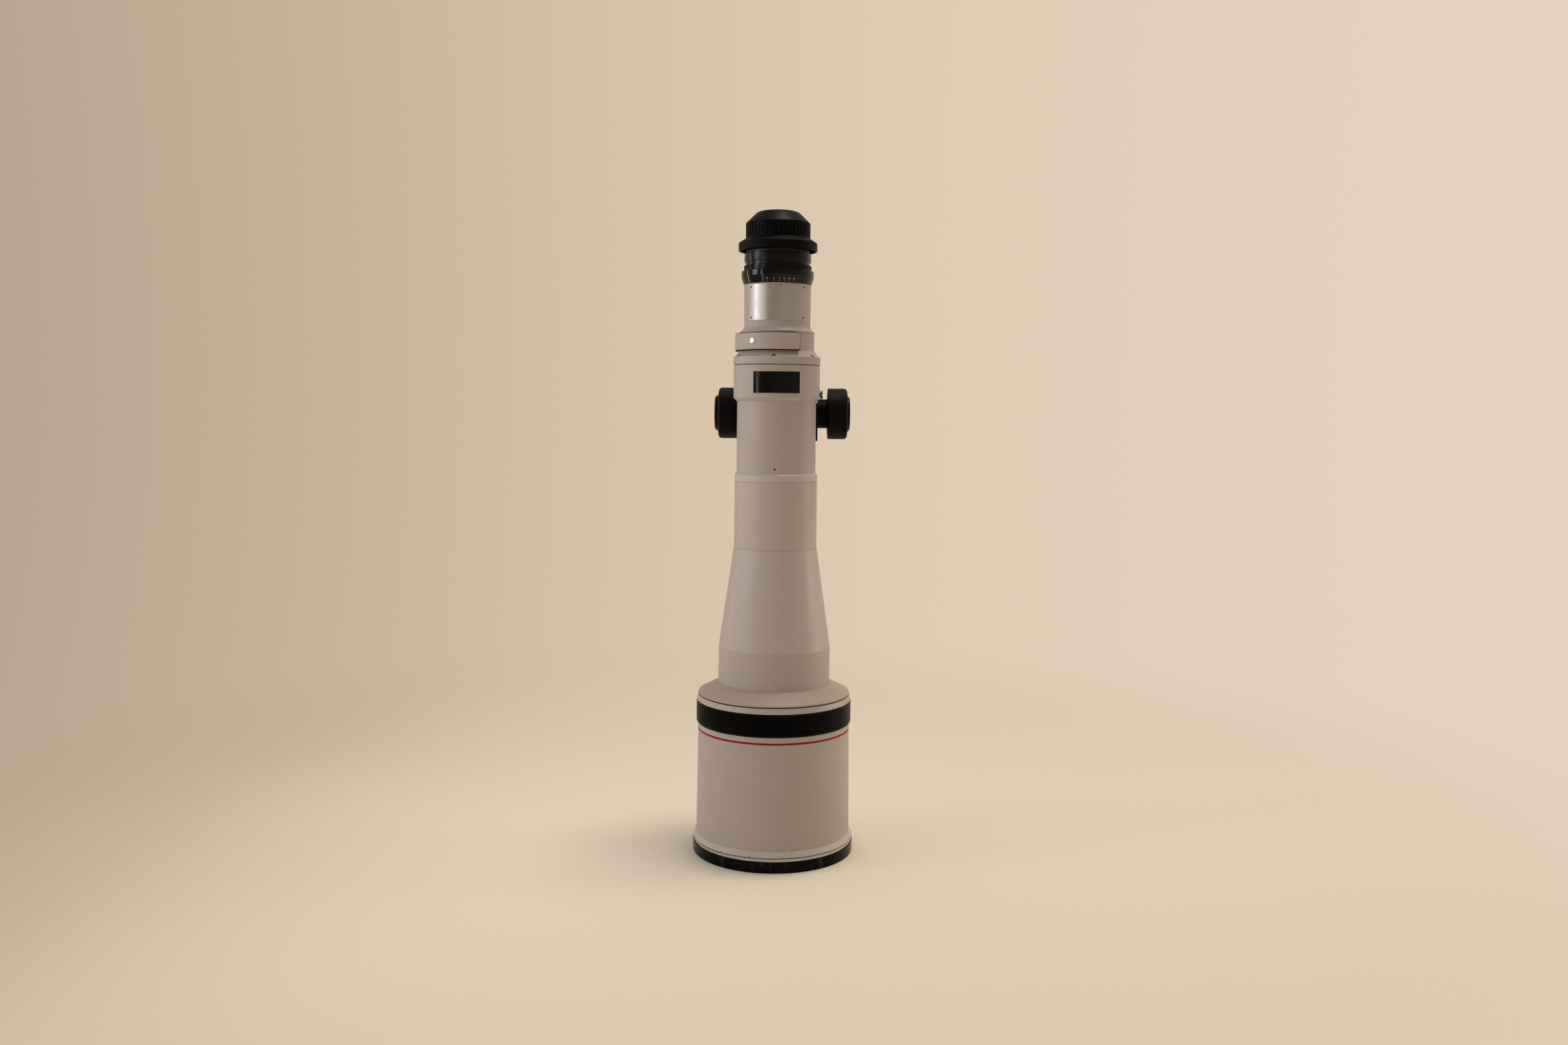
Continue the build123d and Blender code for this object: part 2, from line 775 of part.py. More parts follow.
with BuildPart() as drawer_ring:
    with BuildSketch(Plane.XY.offset(drawer_ring_z)):
        Circle(sleeve_radius)
        Circle(drawer_bore, mode=Mode.SUBTRACT)
    extrude(amount=drawer_ring_top - drawer_ring_z)
    with BuildSketch(pocket_plane):
        Circle(tray_width / 2 + body_gap)
        with Locations((sleeve_radius / 2 + over_cut, 0)):
            Rectangle(sleeve_radius + 2 * over_cut, tray_width + 2 * body_gap)
    extrude(amount=tray_height + 2 * body_gap, mode=Mode.SUBTRACT)

cover_inner = sleeve_radius + body_gap
with BuildPart() as drawer_tray:
    with BuildSketch(drawer_plane):
        Circle(tray_width / 2)
        with Locations((cover_inner / 2, 0)):
            Rectangle(cover_inner, tray_width)
        Circle(cover_inner - fit_gap, mode=Mode.INTERSECT)
        Circle(drawer_bore, mode=Mode.SUBTRACT)
    extrude(amount=tray_height)
    with BuildSketch(drawer_plane.offset(tray_wall)):
        Circle(drawer_bore + filter_ledge + fit_gap)
    extrude(amount=tray_height, mode=Mode.SUBTRACT)

with BuildPart() as drawer_filter:
    with BuildSketch(Plane.XY.offset(drawer_mid - tray_height / 2 + tray_wall)):
        Circle(drawer_bore + filter_ledge)
    extrude(amount=filter_thickness)

cover_foot = index_top + cover_gap
cover_head = drawer_ring_top - cover_gap
cover_edge = cover_radius - cover_crown
button_plane = outward(drawer_angle, drawer_mid)
with BuildPart() as drawer_cover:
    with BuildSketch(Plane.XZ) as cover_section:
        with BuildLine():
            ThreePointArc(
                (cover_edge, cover_foot), (cover_radius, (cover_foot + cover_head) / 2),
                (cover_edge, cover_head),
            )
            Polyline(
                (cover_edge, cover_head), (cover_inner, cover_head), (cover_inner, cover_foot),
                (cover_edge, cover_foot),
            )
        make_face()
    revolve(axis=Axis.Z)
    cover_cut = sector(
        cover_inner - over_cut, cover_radius + over_cut, drawer_angle + cover_angle / 2, 360 - cover_angle,
    )
    extrude(Plane.XY.offset(cover_foot) * cover_cut, amount=cover_head - cover_foot, mode=Mode.SUBTRACT)
    rods(button_plane, button_radius + shaft_gap, cover_radius + over_cut, mode=Mode.SUBTRACT)

button_foot = cover_radius + button_proud - button_length
with BuildPart() as drawer_button:
    rods(button_plane.offset(button_foot), button_radius, button_length)
    button_face = drawer_button.faces().sort_by(Axis((0, 0, 0), button_plane.z_dir))[-1]
    fillet(button_face.edges(), button_round)

# Plate tube: a flared foot, then a nearly straight tube
flare_radius = sleeve_radius + flare_overhang
plate_head = name_plate_z + name_plate_height
plate_screw_spots = [
    (from_front(angle), height)
    for height in (name_plate_z + plate_screw_low, plate_head - plate_screw_high)
    for angle in (-plate_screw_angle, plate_screw_angle)
]
with BuildPart() as plate_tube:
    with BuildSketch(Plane.XZ):
        with BuildLine():
            ThreePointArc(
                (flare_radius, drawer_ring_top + flare_rim),
                (plate_low_radius + throat_step, plate_z - throat_drop),
                (plate_low_radius, plate_z),
            )
            Polyline(
                (plate_low_radius, plate_z), (plate_radius, plate_top), (plate_tube_bore, plate_top),
                (plate_tube_bore, drawer_ring_top), (flare_radius - flare_bevel, drawer_ring_top),
                (flare_radius, drawer_ring_top + flare_bevel), (flare_radius, drawer_ring_top + flare_rim),
            )
        make_face()
    revolve(axis=Axis.Z)
    for bearing, height in plate_screw_spots:
        hole_plane = outward(bearing, plate_z + height)
        rods(hole_plane, plate_screw_shank + fit_gap, plate_radius + over_cut, mode=Mode.SUBTRACT)


def plate_tube_face(height):
    """The plate tube's outer radius at a height above its flare."""
    return plate_low_radius + (plate_radius - plate_low_radius) * height / plate_tube_height


low_face = plate_tube_face(name_plate_z) + fit_gap
high_face = plate_tube_face(plate_head) + fit_gap
with BuildPart() as name_plate:
    with BuildSketch(Plane.XZ) as plate_section:
        with BuildLine():
            Polyline(
                (low_face, plate_z + name_plate_z),
                (low_face + name_plate_thickness, plate_z + name_plate_z),
                (high_face + name_plate_thickness, plate_z + plate_head), (high_face, plate_z + plate_head),
                close=True,
            )
        make_face()
    revolve(axis=Axis.Z)
    plate_cut = sector(
        plate_tube_bore, plate_radius + over_cut, from_front(name_plate_angle / 2), 360 - name_plate_angle,
    )
    extrude(Plane.XY.offset(plate_z) * plate_cut, amount=plate_tube_height, mode=Mode.SUBTRACT)
    for bearing, height in plate_screw_spots:
        hole_plane = outward(bearing, plate_z + height)
        rods(hole_plane, plate_screw_shank + fit_gap, plate_radius + over_cut, mode=Mode.SUBTRACT)

with BuildPart() as plate_screws:
    for bearing, height in plate_screw_spots:
        seat = plate_tube_face(height) + fit_gap + name_plate_thickness + seat_gap
        screw_plane = outward(bearing, plate_z + height)
        rods(screw_plane.offset(seat), plate_screw_radius, plate_screw_head)
        rods(screw_plane.offset(seat), plate_screw_shank, -plate_screw_length)

# Rear cell with its glass, and the iris plate that closes it
rear_cell_foot = drawer_ring_top + rear_cell_z
rear_cell_head = rear_cell_foot + rear_cell_height
with BuildPart() as rear_cell:
    turned(
        (rear_cell_bore, rear_cell_foot), (plate_tube_bore - fit_gap, rear_cell_foot),
        (plate_tube_bore - fit_gap, rear_cell_head), (rear_glass_radius + fit_gap, rear_cell_head),
        (rear_glass_radius + fit_gap, rear_cell_head - 2 * rear_glass_edge),
        (rear_cell_bore, rear_cell_head - 2 * rear_glass_edge),
    )
    with BuildSketch(Plane.XY.offset(rear_cell_head)):
        Circle(plate_tube_bore - fit_gap)
        Circle(iris_bore, mode=Mode.SUBTRACT)
        with PolarLocations(pivot_radius, blade_count):
            Circle(pivot_pin + shaft_gap, mode=Mode.SUBTRACT)
    extrude(amount=iris_plate_height)

with BuildPart() as rear_glass:
    glass(
        rear_glass_radius, rear_cell_head - 2 * rear_glass_edge, rear_cell_head - rear_glass_edge,
        *rear_bulges,
    )

# Iris: each blade lies in its own layer and turns on a pin in the iris plate, while its drive
# pin follows a cam slot in the ring above. The slot is the pin's path seen from that ring.
iris_z = rear_cell_head
blade_z = iris_z + iris_plate_height + blade_pitch - blade_thickness
drive_z = blade_z + blade_count * blade_pitch
blade_ratio = blade_turn / aperture_turn
drive_bearing = math.degrees(2 * math.asin(drive_arm / 2 / pivot_radius))

drive_pin_x = pivot_radius * math.cos(math.radians(drive_bearing))
drive_pin_y = pivot_radius * math.sin(math.radians(drive_bearing))
blades = []
for layer in range(blade_count):
    bearing = 360 * layer / blade_count
    foot = blade_z + layer * blade_pitch
    with BuildPart() as blade:
        with BuildSketch(Plane.XY.offset(foot).rotated((0, 0, bearing))):
            add(sector(blade_inner, blade_outer, lobe_start, blade_sweep))
            add(sector(blade_outer - lobe_overlap, pivot_radius + lobe_reach, lobe_start, lobe_sweep))
        extrude(amount=blade_thickness)
        low_plane = Plane.XY.offset(iris_z).rotated((0, 0, bearing))
        rods(low_plane, pivot_pin, foot - iris_z, [(pivot_radius, 0)])
        high_plane = Plane.XY.offset(foot + blade_thickness).rotated((0, 0, bearing))
        pin_length = drive_z + drive_height - foot - blade_thickness
        rods(high_plane, pivot_pin, pin_length, [(drive_pin_x, drive_pin_y)])
    blades.append(blade)


def cam_point(share):
    """Where the first blade's drive pin lies on the drive ring, after a share of its turn."""
    swing = math.radians(blade_turn * share)
    arm_x = drive_pin_x - pivot_radius
    arm_y = drive_pin_y
    x = pivot_radius + arm_x * math.cos(swing) - arm_y * math.sin(swing)
    y = arm_x * math.sin(swing) + arm_y * math.cos(swing)
    back = math.radians(-aperture_turn * share)
    return (x * math.cos(back) - y * math.sin(back), x * math.sin(back) + y * math.cos(back))


# Aperture ring, and the drive ring that a link pin joins to it through a slot in the mount base
barrel_radius = plate_tube_bore + barrel_step
base_bore = plate_tube_bore - fit_gap - barrel_wall
drive_radius = plate_tube_bore - 2 * body_gap
drive_sleeve = base_bore - body_gap
link_height = aperture_z + link_z
aperture_bore = barrel_radius + body_gap
with BuildPart() as drive_ring:
    with BuildSketch(Plane.XY.offset(drive_z)):
        Circle(drive_radius)
        Circle(iris_bore, mode=Mode.SUBTRACT)
        with BuildLine(mode=Mode.PRIVATE) as cam_path:
            ThreePointArc(cam_point(0), cam_point(0.5), cam_point(1))
        with PolarLocations(0, blade_count):
            SlotArc(cam_path.edges()[0], 2 * (pivot_pin + cam_gap), mode=Mode.SUBTRACT)
    extrude(amount=drive_height)
    with BuildSketch(Plane.XY.offset(drive_z + drive_height)):
        Circle(drive_sleeve)
        Circle(drive_sleeve - drive_sleeve_wall, mode=Mode.SUBTRACT)
    extrude(amount=link_height + 2 * link_radius - drive_z - drive_height)
    link_plane = Plane.XZ.offset(drive_sleeve_wall / 2 - drive_sleeve)
    link_length = aperture_bore + link_reach - drive_sleeve + drive_sleeve_wall / 2
    rods(link_plane, link_radius, -link_length, [(0, link_height)])

with BuildPart() as aperture_ring:
    turned(
        (aperture_bore, aperture_z), (aperture_low_radius, aperture_z),
        (aperture_radius, aperture_top - aperture_band), (aperture_radius, aperture_top - aperture_bevel),
        (aperture_radius - aperture_bevel, aperture_top), (aperture_bore, aperture_top),
    )
    link_hole = aperture_bore + link_reach + fit_gap
    rods(Plane.XZ, link_radius + fit_gap, -link_hole, [(0, link_height)], Mode.SUBTRACT)

# Mount base: the fixed barrel inside the aperture ring, with a slot that the link pin sweeps
slot_start = 90 - math.degrees((link_radius + body_gap) / barrel_radius)
slot_sweep = aperture_turn + 2 * math.degrees((link_radius + body_gap) / barrel_radius)
with BuildPart() as mount_base:
    turned(
        (base_bore, plate_top - base_spigot), (plate_tube_bore - fit_gap, plate_top - base_spigot),
        (plate_tube_bore - fit_gap, plate_top), (barrel_radius, plate_top), (barrel_radius, base_flange_z),
        (aperture_bore + base_flange_reach, base_flange_z), (aperture_bore + base_flange_reach, lock_ring_z),
        (base_neck_radius, lock_ring_z),
        (base_neck_radius, adapter_z), (base_bore, adapter_z),
    )
    link_slot = sector(base_bore - over_cut, barrel_radius + over_cut, slot_start, slot_sweep)
    extrude(
        Plane.XY.offset(link_height - link_radius - body_gap) * link_slot,
        amount=2 * (link_radius + body_gap), mode=Mode.SUBTRACT,
    )

# Lock ring with a short knurl
with BuildPart() as lock_ring:
    with BuildSketch(Plane.XY.offset(lock_ring_z + ring_gap)):
        Circle(lock_ring_radius - lock_tooth)
        with PolarLocations(lock_ring_radius - lock_tooth, lock_ring_teeth):
            Rectangle(2 * lock_tooth, math.pi * lock_ring_radius / lock_ring_teeth)
        Circle(base_neck_radius + body_gap, mode=Mode.SUBTRACT)
    extrude(amount=lock_ring_height - ring_gap)

with BuildPart() as adapter_ring:
    turned(
        (throat_radius, adapter_z), (adapter_neck, adapter_z), (adapter_neck, adapter_ring_z),
        (adapter_radius - edge_break, adapter_ring_z), (adapter_radius, adapter_ring_z + edge_break),
        (adapter_radius, flange_z - edge_break), (adapter_radius - edge_break, flange_z),
        (throat_radius, flange_z),
    )
    with BuildSketch(Plane.XY.offset(flange_z)):
        with PolarLocations(flange_screw_circle, flange_screw_count, start_angle=flange_screw_start):
            Circle(flange_screw_shank + fit_gap)
    extrude(amount=-flange_screw_length, mode=Mode.SUBTRACT)

# Bayonet flange: bare metal, with three lugs and four countersunk screws
with BuildPart() as bayonet_flange:
    turned(
        (throat_radius, flange_z), (flange_radius, flange_z), (flange_radius, mount_face),
        (bayonet_radius, mount_face), (bayonet_radius, mount_face + bayonet_height),
        (throat_radius, mount_face + bayonet_height),
    )
    with BuildSketch(Plane.XY.offset(mount_face + bayonet_height - lug_height)):
        for lug in range(lug_count):
            add(sector(bayonet_radius - lug_overlap, lug_radius, 360 * lug / lug_count, lug_angle))
    extrude(amount=lug_height)
    with Locations(Plane.XY.offset(mount_face)):
        with PolarLocations(flange_screw_circle, flange_screw_count, start_angle=flange_screw_start):
            CounterSinkHole(flange_screw_shank + fit_gap, flange_screw_radius + fit_gap, flange_height)

cone_depth = flange_screw_radius - flange_screw_shank
with BuildPart() as flange_screws:
    with PolarLocations(flange_screw_circle, flange_screw_count, start_angle=flange_screw_start):
        with Locations((0, 0, mount_face - fit_gap - flange_screw_length / 2)):
            Cylinder(flange_screw_shank, flange_screw_length)
        with Locations((0, 0, mount_face - fit_gap - cone_depth / 2)):
            Cone(flange_screw_shank, flange_screw_radius, cone_depth)

# Rear cap: a wide hollow flange below a fluted grip
skirt_bore = rear_cap_flange - rear_cap_skirt
hub_radius = rear_cap_grip - hub_step
flange_top = mount_face + rear_cap_flange_height
inner_grip = rear_cap_grip - rear_cap_wall
with BuildPart() as rear_cap:
    with BuildSketch(Plane.XZ):
        with BuildLine():
            Polyline(
                (0, rear_cap_z - rear_cap_wall), (rear_cap_top - rear_cap_wall, rear_cap_z - rear_cap_wall),
                (rear_cap_taper - rear_cap_wall, taper_z + rear_cap_taper_height - rear_cap_wall),
                (inner_grip, taper_z - rear_cap_wall), (inner_grip, grip_z - rear_cap_cone),
                (rear_cap_hub, grip_z - rear_cap_cone), (rear_cap_hub, mount_face), (hub_radius, mount_face),
                (hub_radius, flange_top - rear_cap_plate), (skirt_bore, flange_top - rear_cap_plate),
                (skirt_bore, mount_face), (rear_cap_flange, mount_face),
                (rear_cap_flange, flange_top - rear_cap_edge), (rear_cap_flange - rear_cap_edge, flange_top),
                (rear_cap_grip, grip_z), (rear_cap_grip, taper_z),
                (rear_cap_taper, taper_z + rear_cap_taper_height),
            )
            ThreePointArc(
                (rear_cap_taper, taper_z + rear_cap_taper_height),
                (rear_cap_top + dome_reach, rear_cap_z - dome_drop),
                (rear_cap_top, rear_cap_z),
            )
            Polyline((rear_cap_top, rear_cap_z), (0, rear_cap_z), (0, rear_cap_z - rear_cap_wall))
        make_face()
    revolve(axis=Axis.Z)
    with BuildSketch(Plane.XY.offset(grip_z + (rear_cap_grip_height - flute_height) / 2)):
        with PolarLocations(rear_cap_grip, grip_flutes):
            Rectangle(2 * flute_depth, flute_width)
    extrude(amount=flute_height, mode=Mode.SUBTRACT)

# Focus saddle: a casting behind the rear tube that carries the shaft and the foot
pedestal_mid = saddle_z + saddle_height - pedestal_height / 2 - pedestal_drop
pedestal_back = saddle_back + pedestal_depth
foot_face = pedestal_back + foot_thickness
foot_mid = pedestal_mid - foot_drop
foot_screw_spots = [
    (x, pedestal_mid + z) for x in (-foot_screw_x, foot_screw_x) for z in (-foot_screw_z, foot_screw_z)
]
with BuildPart() as focus_saddle:
    with BuildSketch(Plane.YZ.offset(saddle_left)) as saddle_side:
        with Locations(((saddle_front + saddle_back) / 2, saddle_z + saddle_height / 2)):
            RectangleRounded(saddle_back - saddle_front, saddle_height, saddle_round)
        with Locations((shaft_y, knob_axis_z)):
            Circle(saddle_boss)
    extrude(amount=saddle_right - saddle_left)
    with BuildSketch(Plane.XZ.offset(-pedestal_back)):
        with Locations((0, pedestal_mid)):
            RectangleRounded(pedestal_width, pedestal_height, saddle_round)
    extrude(amount=pedestal_depth + saddle_round)
    turned_on_shaft(
        (saddle_right, 0), (saddle_right + saddle_neck_length, 0),
        (saddle_right + saddle_neck_length, saddle_neck), (saddle_right, saddle_neck),
    )
    with BuildSketch(Plane.XY.offset(saddle_z)):
        Circle(rear_tube_radius + fit_gap)
    extrude(amount=saddle_height, mode=Mode.SUBTRACT)
    turned_on_shaft(
        (saddle_left, 0), (saddle_right + saddle_neck_length, 0),
        (saddle_right + saddle_neck_length, bush_radius + fit_gap),
        (saddle_right + saddle_neck_length - bush_length, bush_radius + fit_gap),
        (saddle_right + saddle_neck_length - bush_length, shaft_radius + shaft_room),
        (saddle_left + bush_length, shaft_radius + shaft_room),
        (saddle_left + bush_length, bush_radius + fit_gap), (saddle_left, bush_radius + fit_gap),
        mode=Mode.SUBTRACT,
    )
    pinion_radius = pitch_radius + gear_module
    pocket = pinion_radius + pinion_room
    turned_on_shaft(
        (-gear_width / 2 - pinion_room, 0), (gear_width / 2 + pinion_room, 0),
        (gear_width / 2 + pinion_room, pocket), (-gear_width / 2 - pinion_room, pocket),
        mode=Mode.SUBTRACT,
    )
    with Locations((0, shaft_y - pocket / 2, knob_axis_z)):
        Box(gear_width + 2 * pinion_room, pocket, 2 * pocket, mode=Mode.SUBTRACT)
    rods(Plane.XZ.offset(-saddle_back), screw_shank + fit_gap, saddle_back, saddle_screw_spots, Mode.SUBTRACT)
    rods(
        Plane.XZ.offset(-pedestal_back), foot_screw_shank + fit_gap, foot_screw_reach, foot_screw_spots,
        Mode.SUBTRACT,
    )

with BuildPart() as casting_screws:
    for spot in saddle_screw_spots:
        tip = math.sqrt(tube_bore ** 2 - (abs(spot[0]) - screw_shank) ** 2) + fit_gap
        rods(Plane.XZ.offset(-saddle_back), screw_head, -screw_head_height, [spot])
        rods(Plane.XZ.offset(-saddle_back), screw_shank, saddle_back - tip, [spot])
    head_depth = foot_screw_depth - foot_screw_sink
    shank_length = foot_thickness - foot_screw_depth + foot_screw_reach - foot_screw_sink
    rods(Plane.XZ.offset(foot_screw_sink - foot_face), foot_screw_head, head_depth, foot_screw_spots)
    rods(Plane.XZ.offset(foot_screw_depth - foot_face), foot_screw_shank, shank_length, foot_screw_spots)

with BuildPart() as shaft_bushes:
    for foot in (saddle_left, saddle_right + saddle_neck_length - bush_length):
        turned_on_shaft(
            (foot, shaft_radius + shaft_gap), (foot + bush_length, shaft_radius + shaft_gap),
            (foot + bush_length, bush_radius), (foot, bush_radius),
        )

# Focus shaft with the pinion cut on it, knobs and end discs
left_face = left_knob_x - left_knob_length
right_face = right_knob_x + right_knob_length
half_tooth = tooth_share * tooth_pitch / 2
flank = math.tan(math.radians(pressure_angle))
tooth_tip = half_tooth - flank * gear_module
tooth_root = half_tooth + flank * gear_module * root_depth
sink = root_sink * gear_module
with BuildPart() as pinion_shaft:
    with BuildSketch(Plane.YZ.offset(-gear_width / 2)):
        with Locations((shaft_y, knob_axis_z)):
            Circle(pitch_radius - root_depth * gear_module)
            with PolarLocations(0, pinion_teeth, start_angle=180):
                Polygon(
                    (pitch_radius - sink, -tooth_root), (pitch_radius, -half_tooth),
                    (pitch_radius + gear_module, -tooth_tip), (pitch_radius + gear_module, tooth_tip),
                    (pitch_radius, half_tooth), (pitch_radius - sink, tooth_root),
                    align=None,
                )
    extrude(amount=gear_width)
    turned_on_shaft((left_face, 0), (right_face, 0), (right_face, shaft_radius), (left_face, shaft_radius))


def knob(inside, outside):
    """A dished hand knob on the shaft, from its inside face to its outside face."""
    way = 1 if outside > inside else -1
    knob_bore = shaft_radius + seat_gap
    with BuildSketch(shaft_plane) as section:
        with BuildLine():
            Polyline(
                (outside, knob_bore), (inside, knob_bore), (inside, knob_hub),
                (inside + way * knob_dish, knob_hub + dish_taper),
                (inside + way * knob_dish, knob_radius - knob_round - dish_taper),
                (inside, knob_radius - knob_round), (inside, knob_radius - knob_edge),
                (inside + way * knob_edge, knob_radius), (outside - way * knob_round, knob_radius),
            )
            TangentArc(
                (outside - way * knob_round, knob_radius), (outside, knob_radius - knob_round),
                tangent=(way, 0),
            )
            Line((outside, knob_radius - knob_round), (outside, knob_bore))
        make_face()
    revolve(section.sketch, axis=shaft_axis)


with BuildPart() as left_knob:
    knob(left_knob_x, left_face)

with BuildPart() as right_knob:
    knob(right_knob_x, right_face)

with BuildPart() as knob_discs:
    turned_on_shaft(
        (left_face, 0), (left_face, disc_radius), (left_face - left_disc + disc_bevel, disc_radius),
        (left_face - left_disc, disc_radius - disc_bevel), (left_face - left_disc, 0),
    )
    turned_on_shaft(
        (right_face, 0), (right_face, disc_radius), (right_face + right_disc - disc_bevel, disc_radius),
        (right_face + right_disc, disc_radius - disc_bevel), (right_face + right_disc, 0),
    )

# Ridged ring that sets how stiffly the knobs turn
tension_foot = saddle_right + body_gap
tension_head = right_knob_x - body_gap
neck_room = saddle_right + saddle_neck_length + body_gap
with BuildPart() as tension_ring:
    turned_on_shaft(
        (tension_foot, saddle_neck + shaft_gap), (neck_room, saddle_neck + shaft_gap),
        (neck_room, shaft_radius + body_gap), (tension_head, shaft_radius + body_gap),
        (tension_head, tension_radius - tension_bevel), (tension_head - tension_bevel, tension_radius),
        (tension_foot + tension_bevel, tension_radius), (tension_foot, tension_radius - tension_bevel),
    )
    with BuildSketch(Plane.YZ.offset(tension_foot + ridge_edge)):
        with Locations((shaft_y, knob_axis_z)):
            with PolarLocations(tension_radius, tension_ridges):
                Rectangle(2 * ridge_depth, ridge_width)
    extrude(amount=tension_head - tension_foot - 2 * ridge_edge, mode=Mode.SUBTRACT)

# Focusing cell, with a flat for the rack
focus_head = collar_z + focus_cell_top
focus_foot = focus_head - focus_cell_height
waist_radius = sleeve_radius - focus_waist
rack_seat = rack_line - root_depth * gear_module - rack_base
glass_foot = focus_foot + focus_lip
with BuildPart() as focus_cell:
    turned(
        (focus_lip_bore, focus_foot), (sleeve_radius, focus_foot), (sleeve_radius, focus_foot + focus_land),
        (waist_radius, focus_foot + focus_land), (waist_radius, focus_head - focus_land),
        (sleeve_radius, focus_head - focus_land), (sleeve_radius, focus_head),
        (focus_glass_radius + fit_gap, focus_head), (focus_glass_radius + fit_gap, glass_foot),
        (focus_lip_bore, glass_foot - ring_bevel),
    )
    with Locations((0, rack_seat + sleeve_radius / 2, focus_foot + focus_cell_height / 2)):
        Box(gear_width + 2 * fit_gap, sleeve_radius, focus_cell_height + 2 * over_cut, mode=Mode.SUBTRACT)

with BuildPart() as focus_glass:
    glass(focus_glass_radius, glass_foot, glass_foot + focus_glass_edge, *focus_bulges)

with BuildPart() as focus_rack:
    with BuildSketch(Plane.YZ.offset(-gear_width / 2)):
        with Locations((rack_seat + rack_base / 2, (rack_foot + rack_head) / 2)):
            Rectangle(rack_base, rack_head - rack_foot)
        for tooth in range(rack_teeth):
            with Locations((rack_line, rack_foot + (tooth + 0.5) * tooth_pitch)):
                Polygon(
                    (-sink, -tooth_root), (gear_module, -tooth_tip),
                    (gear_module, tooth_tip), (-sink, tooth_root),
                    align=None,
                )
    extrude(amount=gear_width)

# Tripod foot behind the saddle, with a steel bush for the large thread
with BuildPart() as tripod_foot:
    with BuildSketch(Plane.XZ.offset(-foot_face)):
        with Locations((0, foot_mid)):
            RectangleRounded(foot_width, foot_length, foot_round)
            Circle(foot_bush_radius + seat_gap, mode=Mode.SUBTRACT)
        with Locations((0, foot_mid - small_socket_z)):
            Circle(small_thread, mode=Mode.SUBTRACT)
        with Locations(*foot_screw_spots):
            Circle(foot_screw_shank + fit_gap, mode=Mode.SUBTRACT)
    extrude(amount=foot_thickness)
    rods(
        Plane.XZ.offset(-foot_face), foot_screw_head + fit_gap, foot_screw_depth, foot_screw_spots,
        Mode.SUBTRACT,
    )

with BuildPart() as thread_bush:
    with BuildSketch(Plane.XZ.offset(-foot_face)):
        with Locations((0, foot_mid)):
            Circle(foot_bush_radius)
            Circle(large_thread, mode=Mode.SUBTRACT)
    extrude(amount=foot_thickness)


def tube_bore_at(height):
    """The inside radius of the front tube, cone and neck at a height."""
    if height < cone_z:
        return front_tube_bore
    if height > mid_z:
        return mid_tube_bore
    share = (height - cone_z - spigot_land) / (cone_height - spigot_land)
    return spigot_bore + (mid_tube_bore - spigot_bore) * share


with BuildPart() as baffles:
    for rise, reach in baffle_places:
        foot = front_tube_z + rise
        head = foot + baffle_thickness
        edge = tube_bore_at(head) - fit_gap
        turned((edge - reach, foot), (edge, foot), (edge, head), (edge - reach, head))

pieces = {
    "front_cap": front_cap,
    "front_rim": front_rim,
    "bead_ring": bead_ring,
    "front_housing": front_housing,
    "red_ring": red_ring,
    "grip_band": grip_band,
    "objective_cell": objective_cell,
    "front_element": front_element,
    "second_element": second_element,
    "third_element": third_element,
    "objective_rings": objective_rings,
    "shoulder_ring": shoulder_ring,
    "front_tube": front_tube,
    "cone_tube": cone_tube,
    "baffles": baffles,
    "joint_ring": joint_ring,
    "rear_tube": rear_tube,
    "collar": collar,
    "label_plate": label_plate,
    "lock_screw": lock_screw,
    "turning_sleeve": turning_sleeve,
    "sleeve_holder": sleeve_holder,
    "index_ring": index_ring,
    "drawer_ring": drawer_ring,
    "drawer_tray": drawer_tray,
    "drawer_filter": drawer_filter,
    "drawer_cover": drawer_cover,
    "drawer_button": drawer_button,
    "plate_tube": plate_tube,
    "name_plate": name_plate,
    "plate_screws": plate_screws,
    "rear_cell": rear_cell,
    "rear_glass": rear_glass,
    "drive_ring": drive_ring,
    "aperture_ring": aperture_ring,
    "mount_base": mount_base,
    "lock_ring": lock_ring,
    "adapter_ring": adapter_ring,
    "bayonet_flange": bayonet_flange,
    "flange_screws": flange_screws,
    "rear_cap": rear_cap,
    "focus_saddle": focus_saddle,
    "casting_screws": casting_screws,
    "shaft_bushes": shaft_bushes,
    "pinion_shaft": pinion_shaft,
    "left_knob": left_knob,
    "right_knob": right_knob,
    "knob_discs": knob_discs,
    "tension_ring": tension_ring,
    "focus_cell": focus_cell,
    "focus_glass": focus_glass,
    "focus_rack": focus_rack,
    "tripod_foot": tripod_foot,
    "thread_bush": thread_bush,
}
for number, blade in enumerate(blades, 1):
    pieces[f"iris_blade_{number}"] = blade

for name, piece in pieces.items():
    piece.part.label = name
    export_step(piece.part, f"parts/{name}.step")
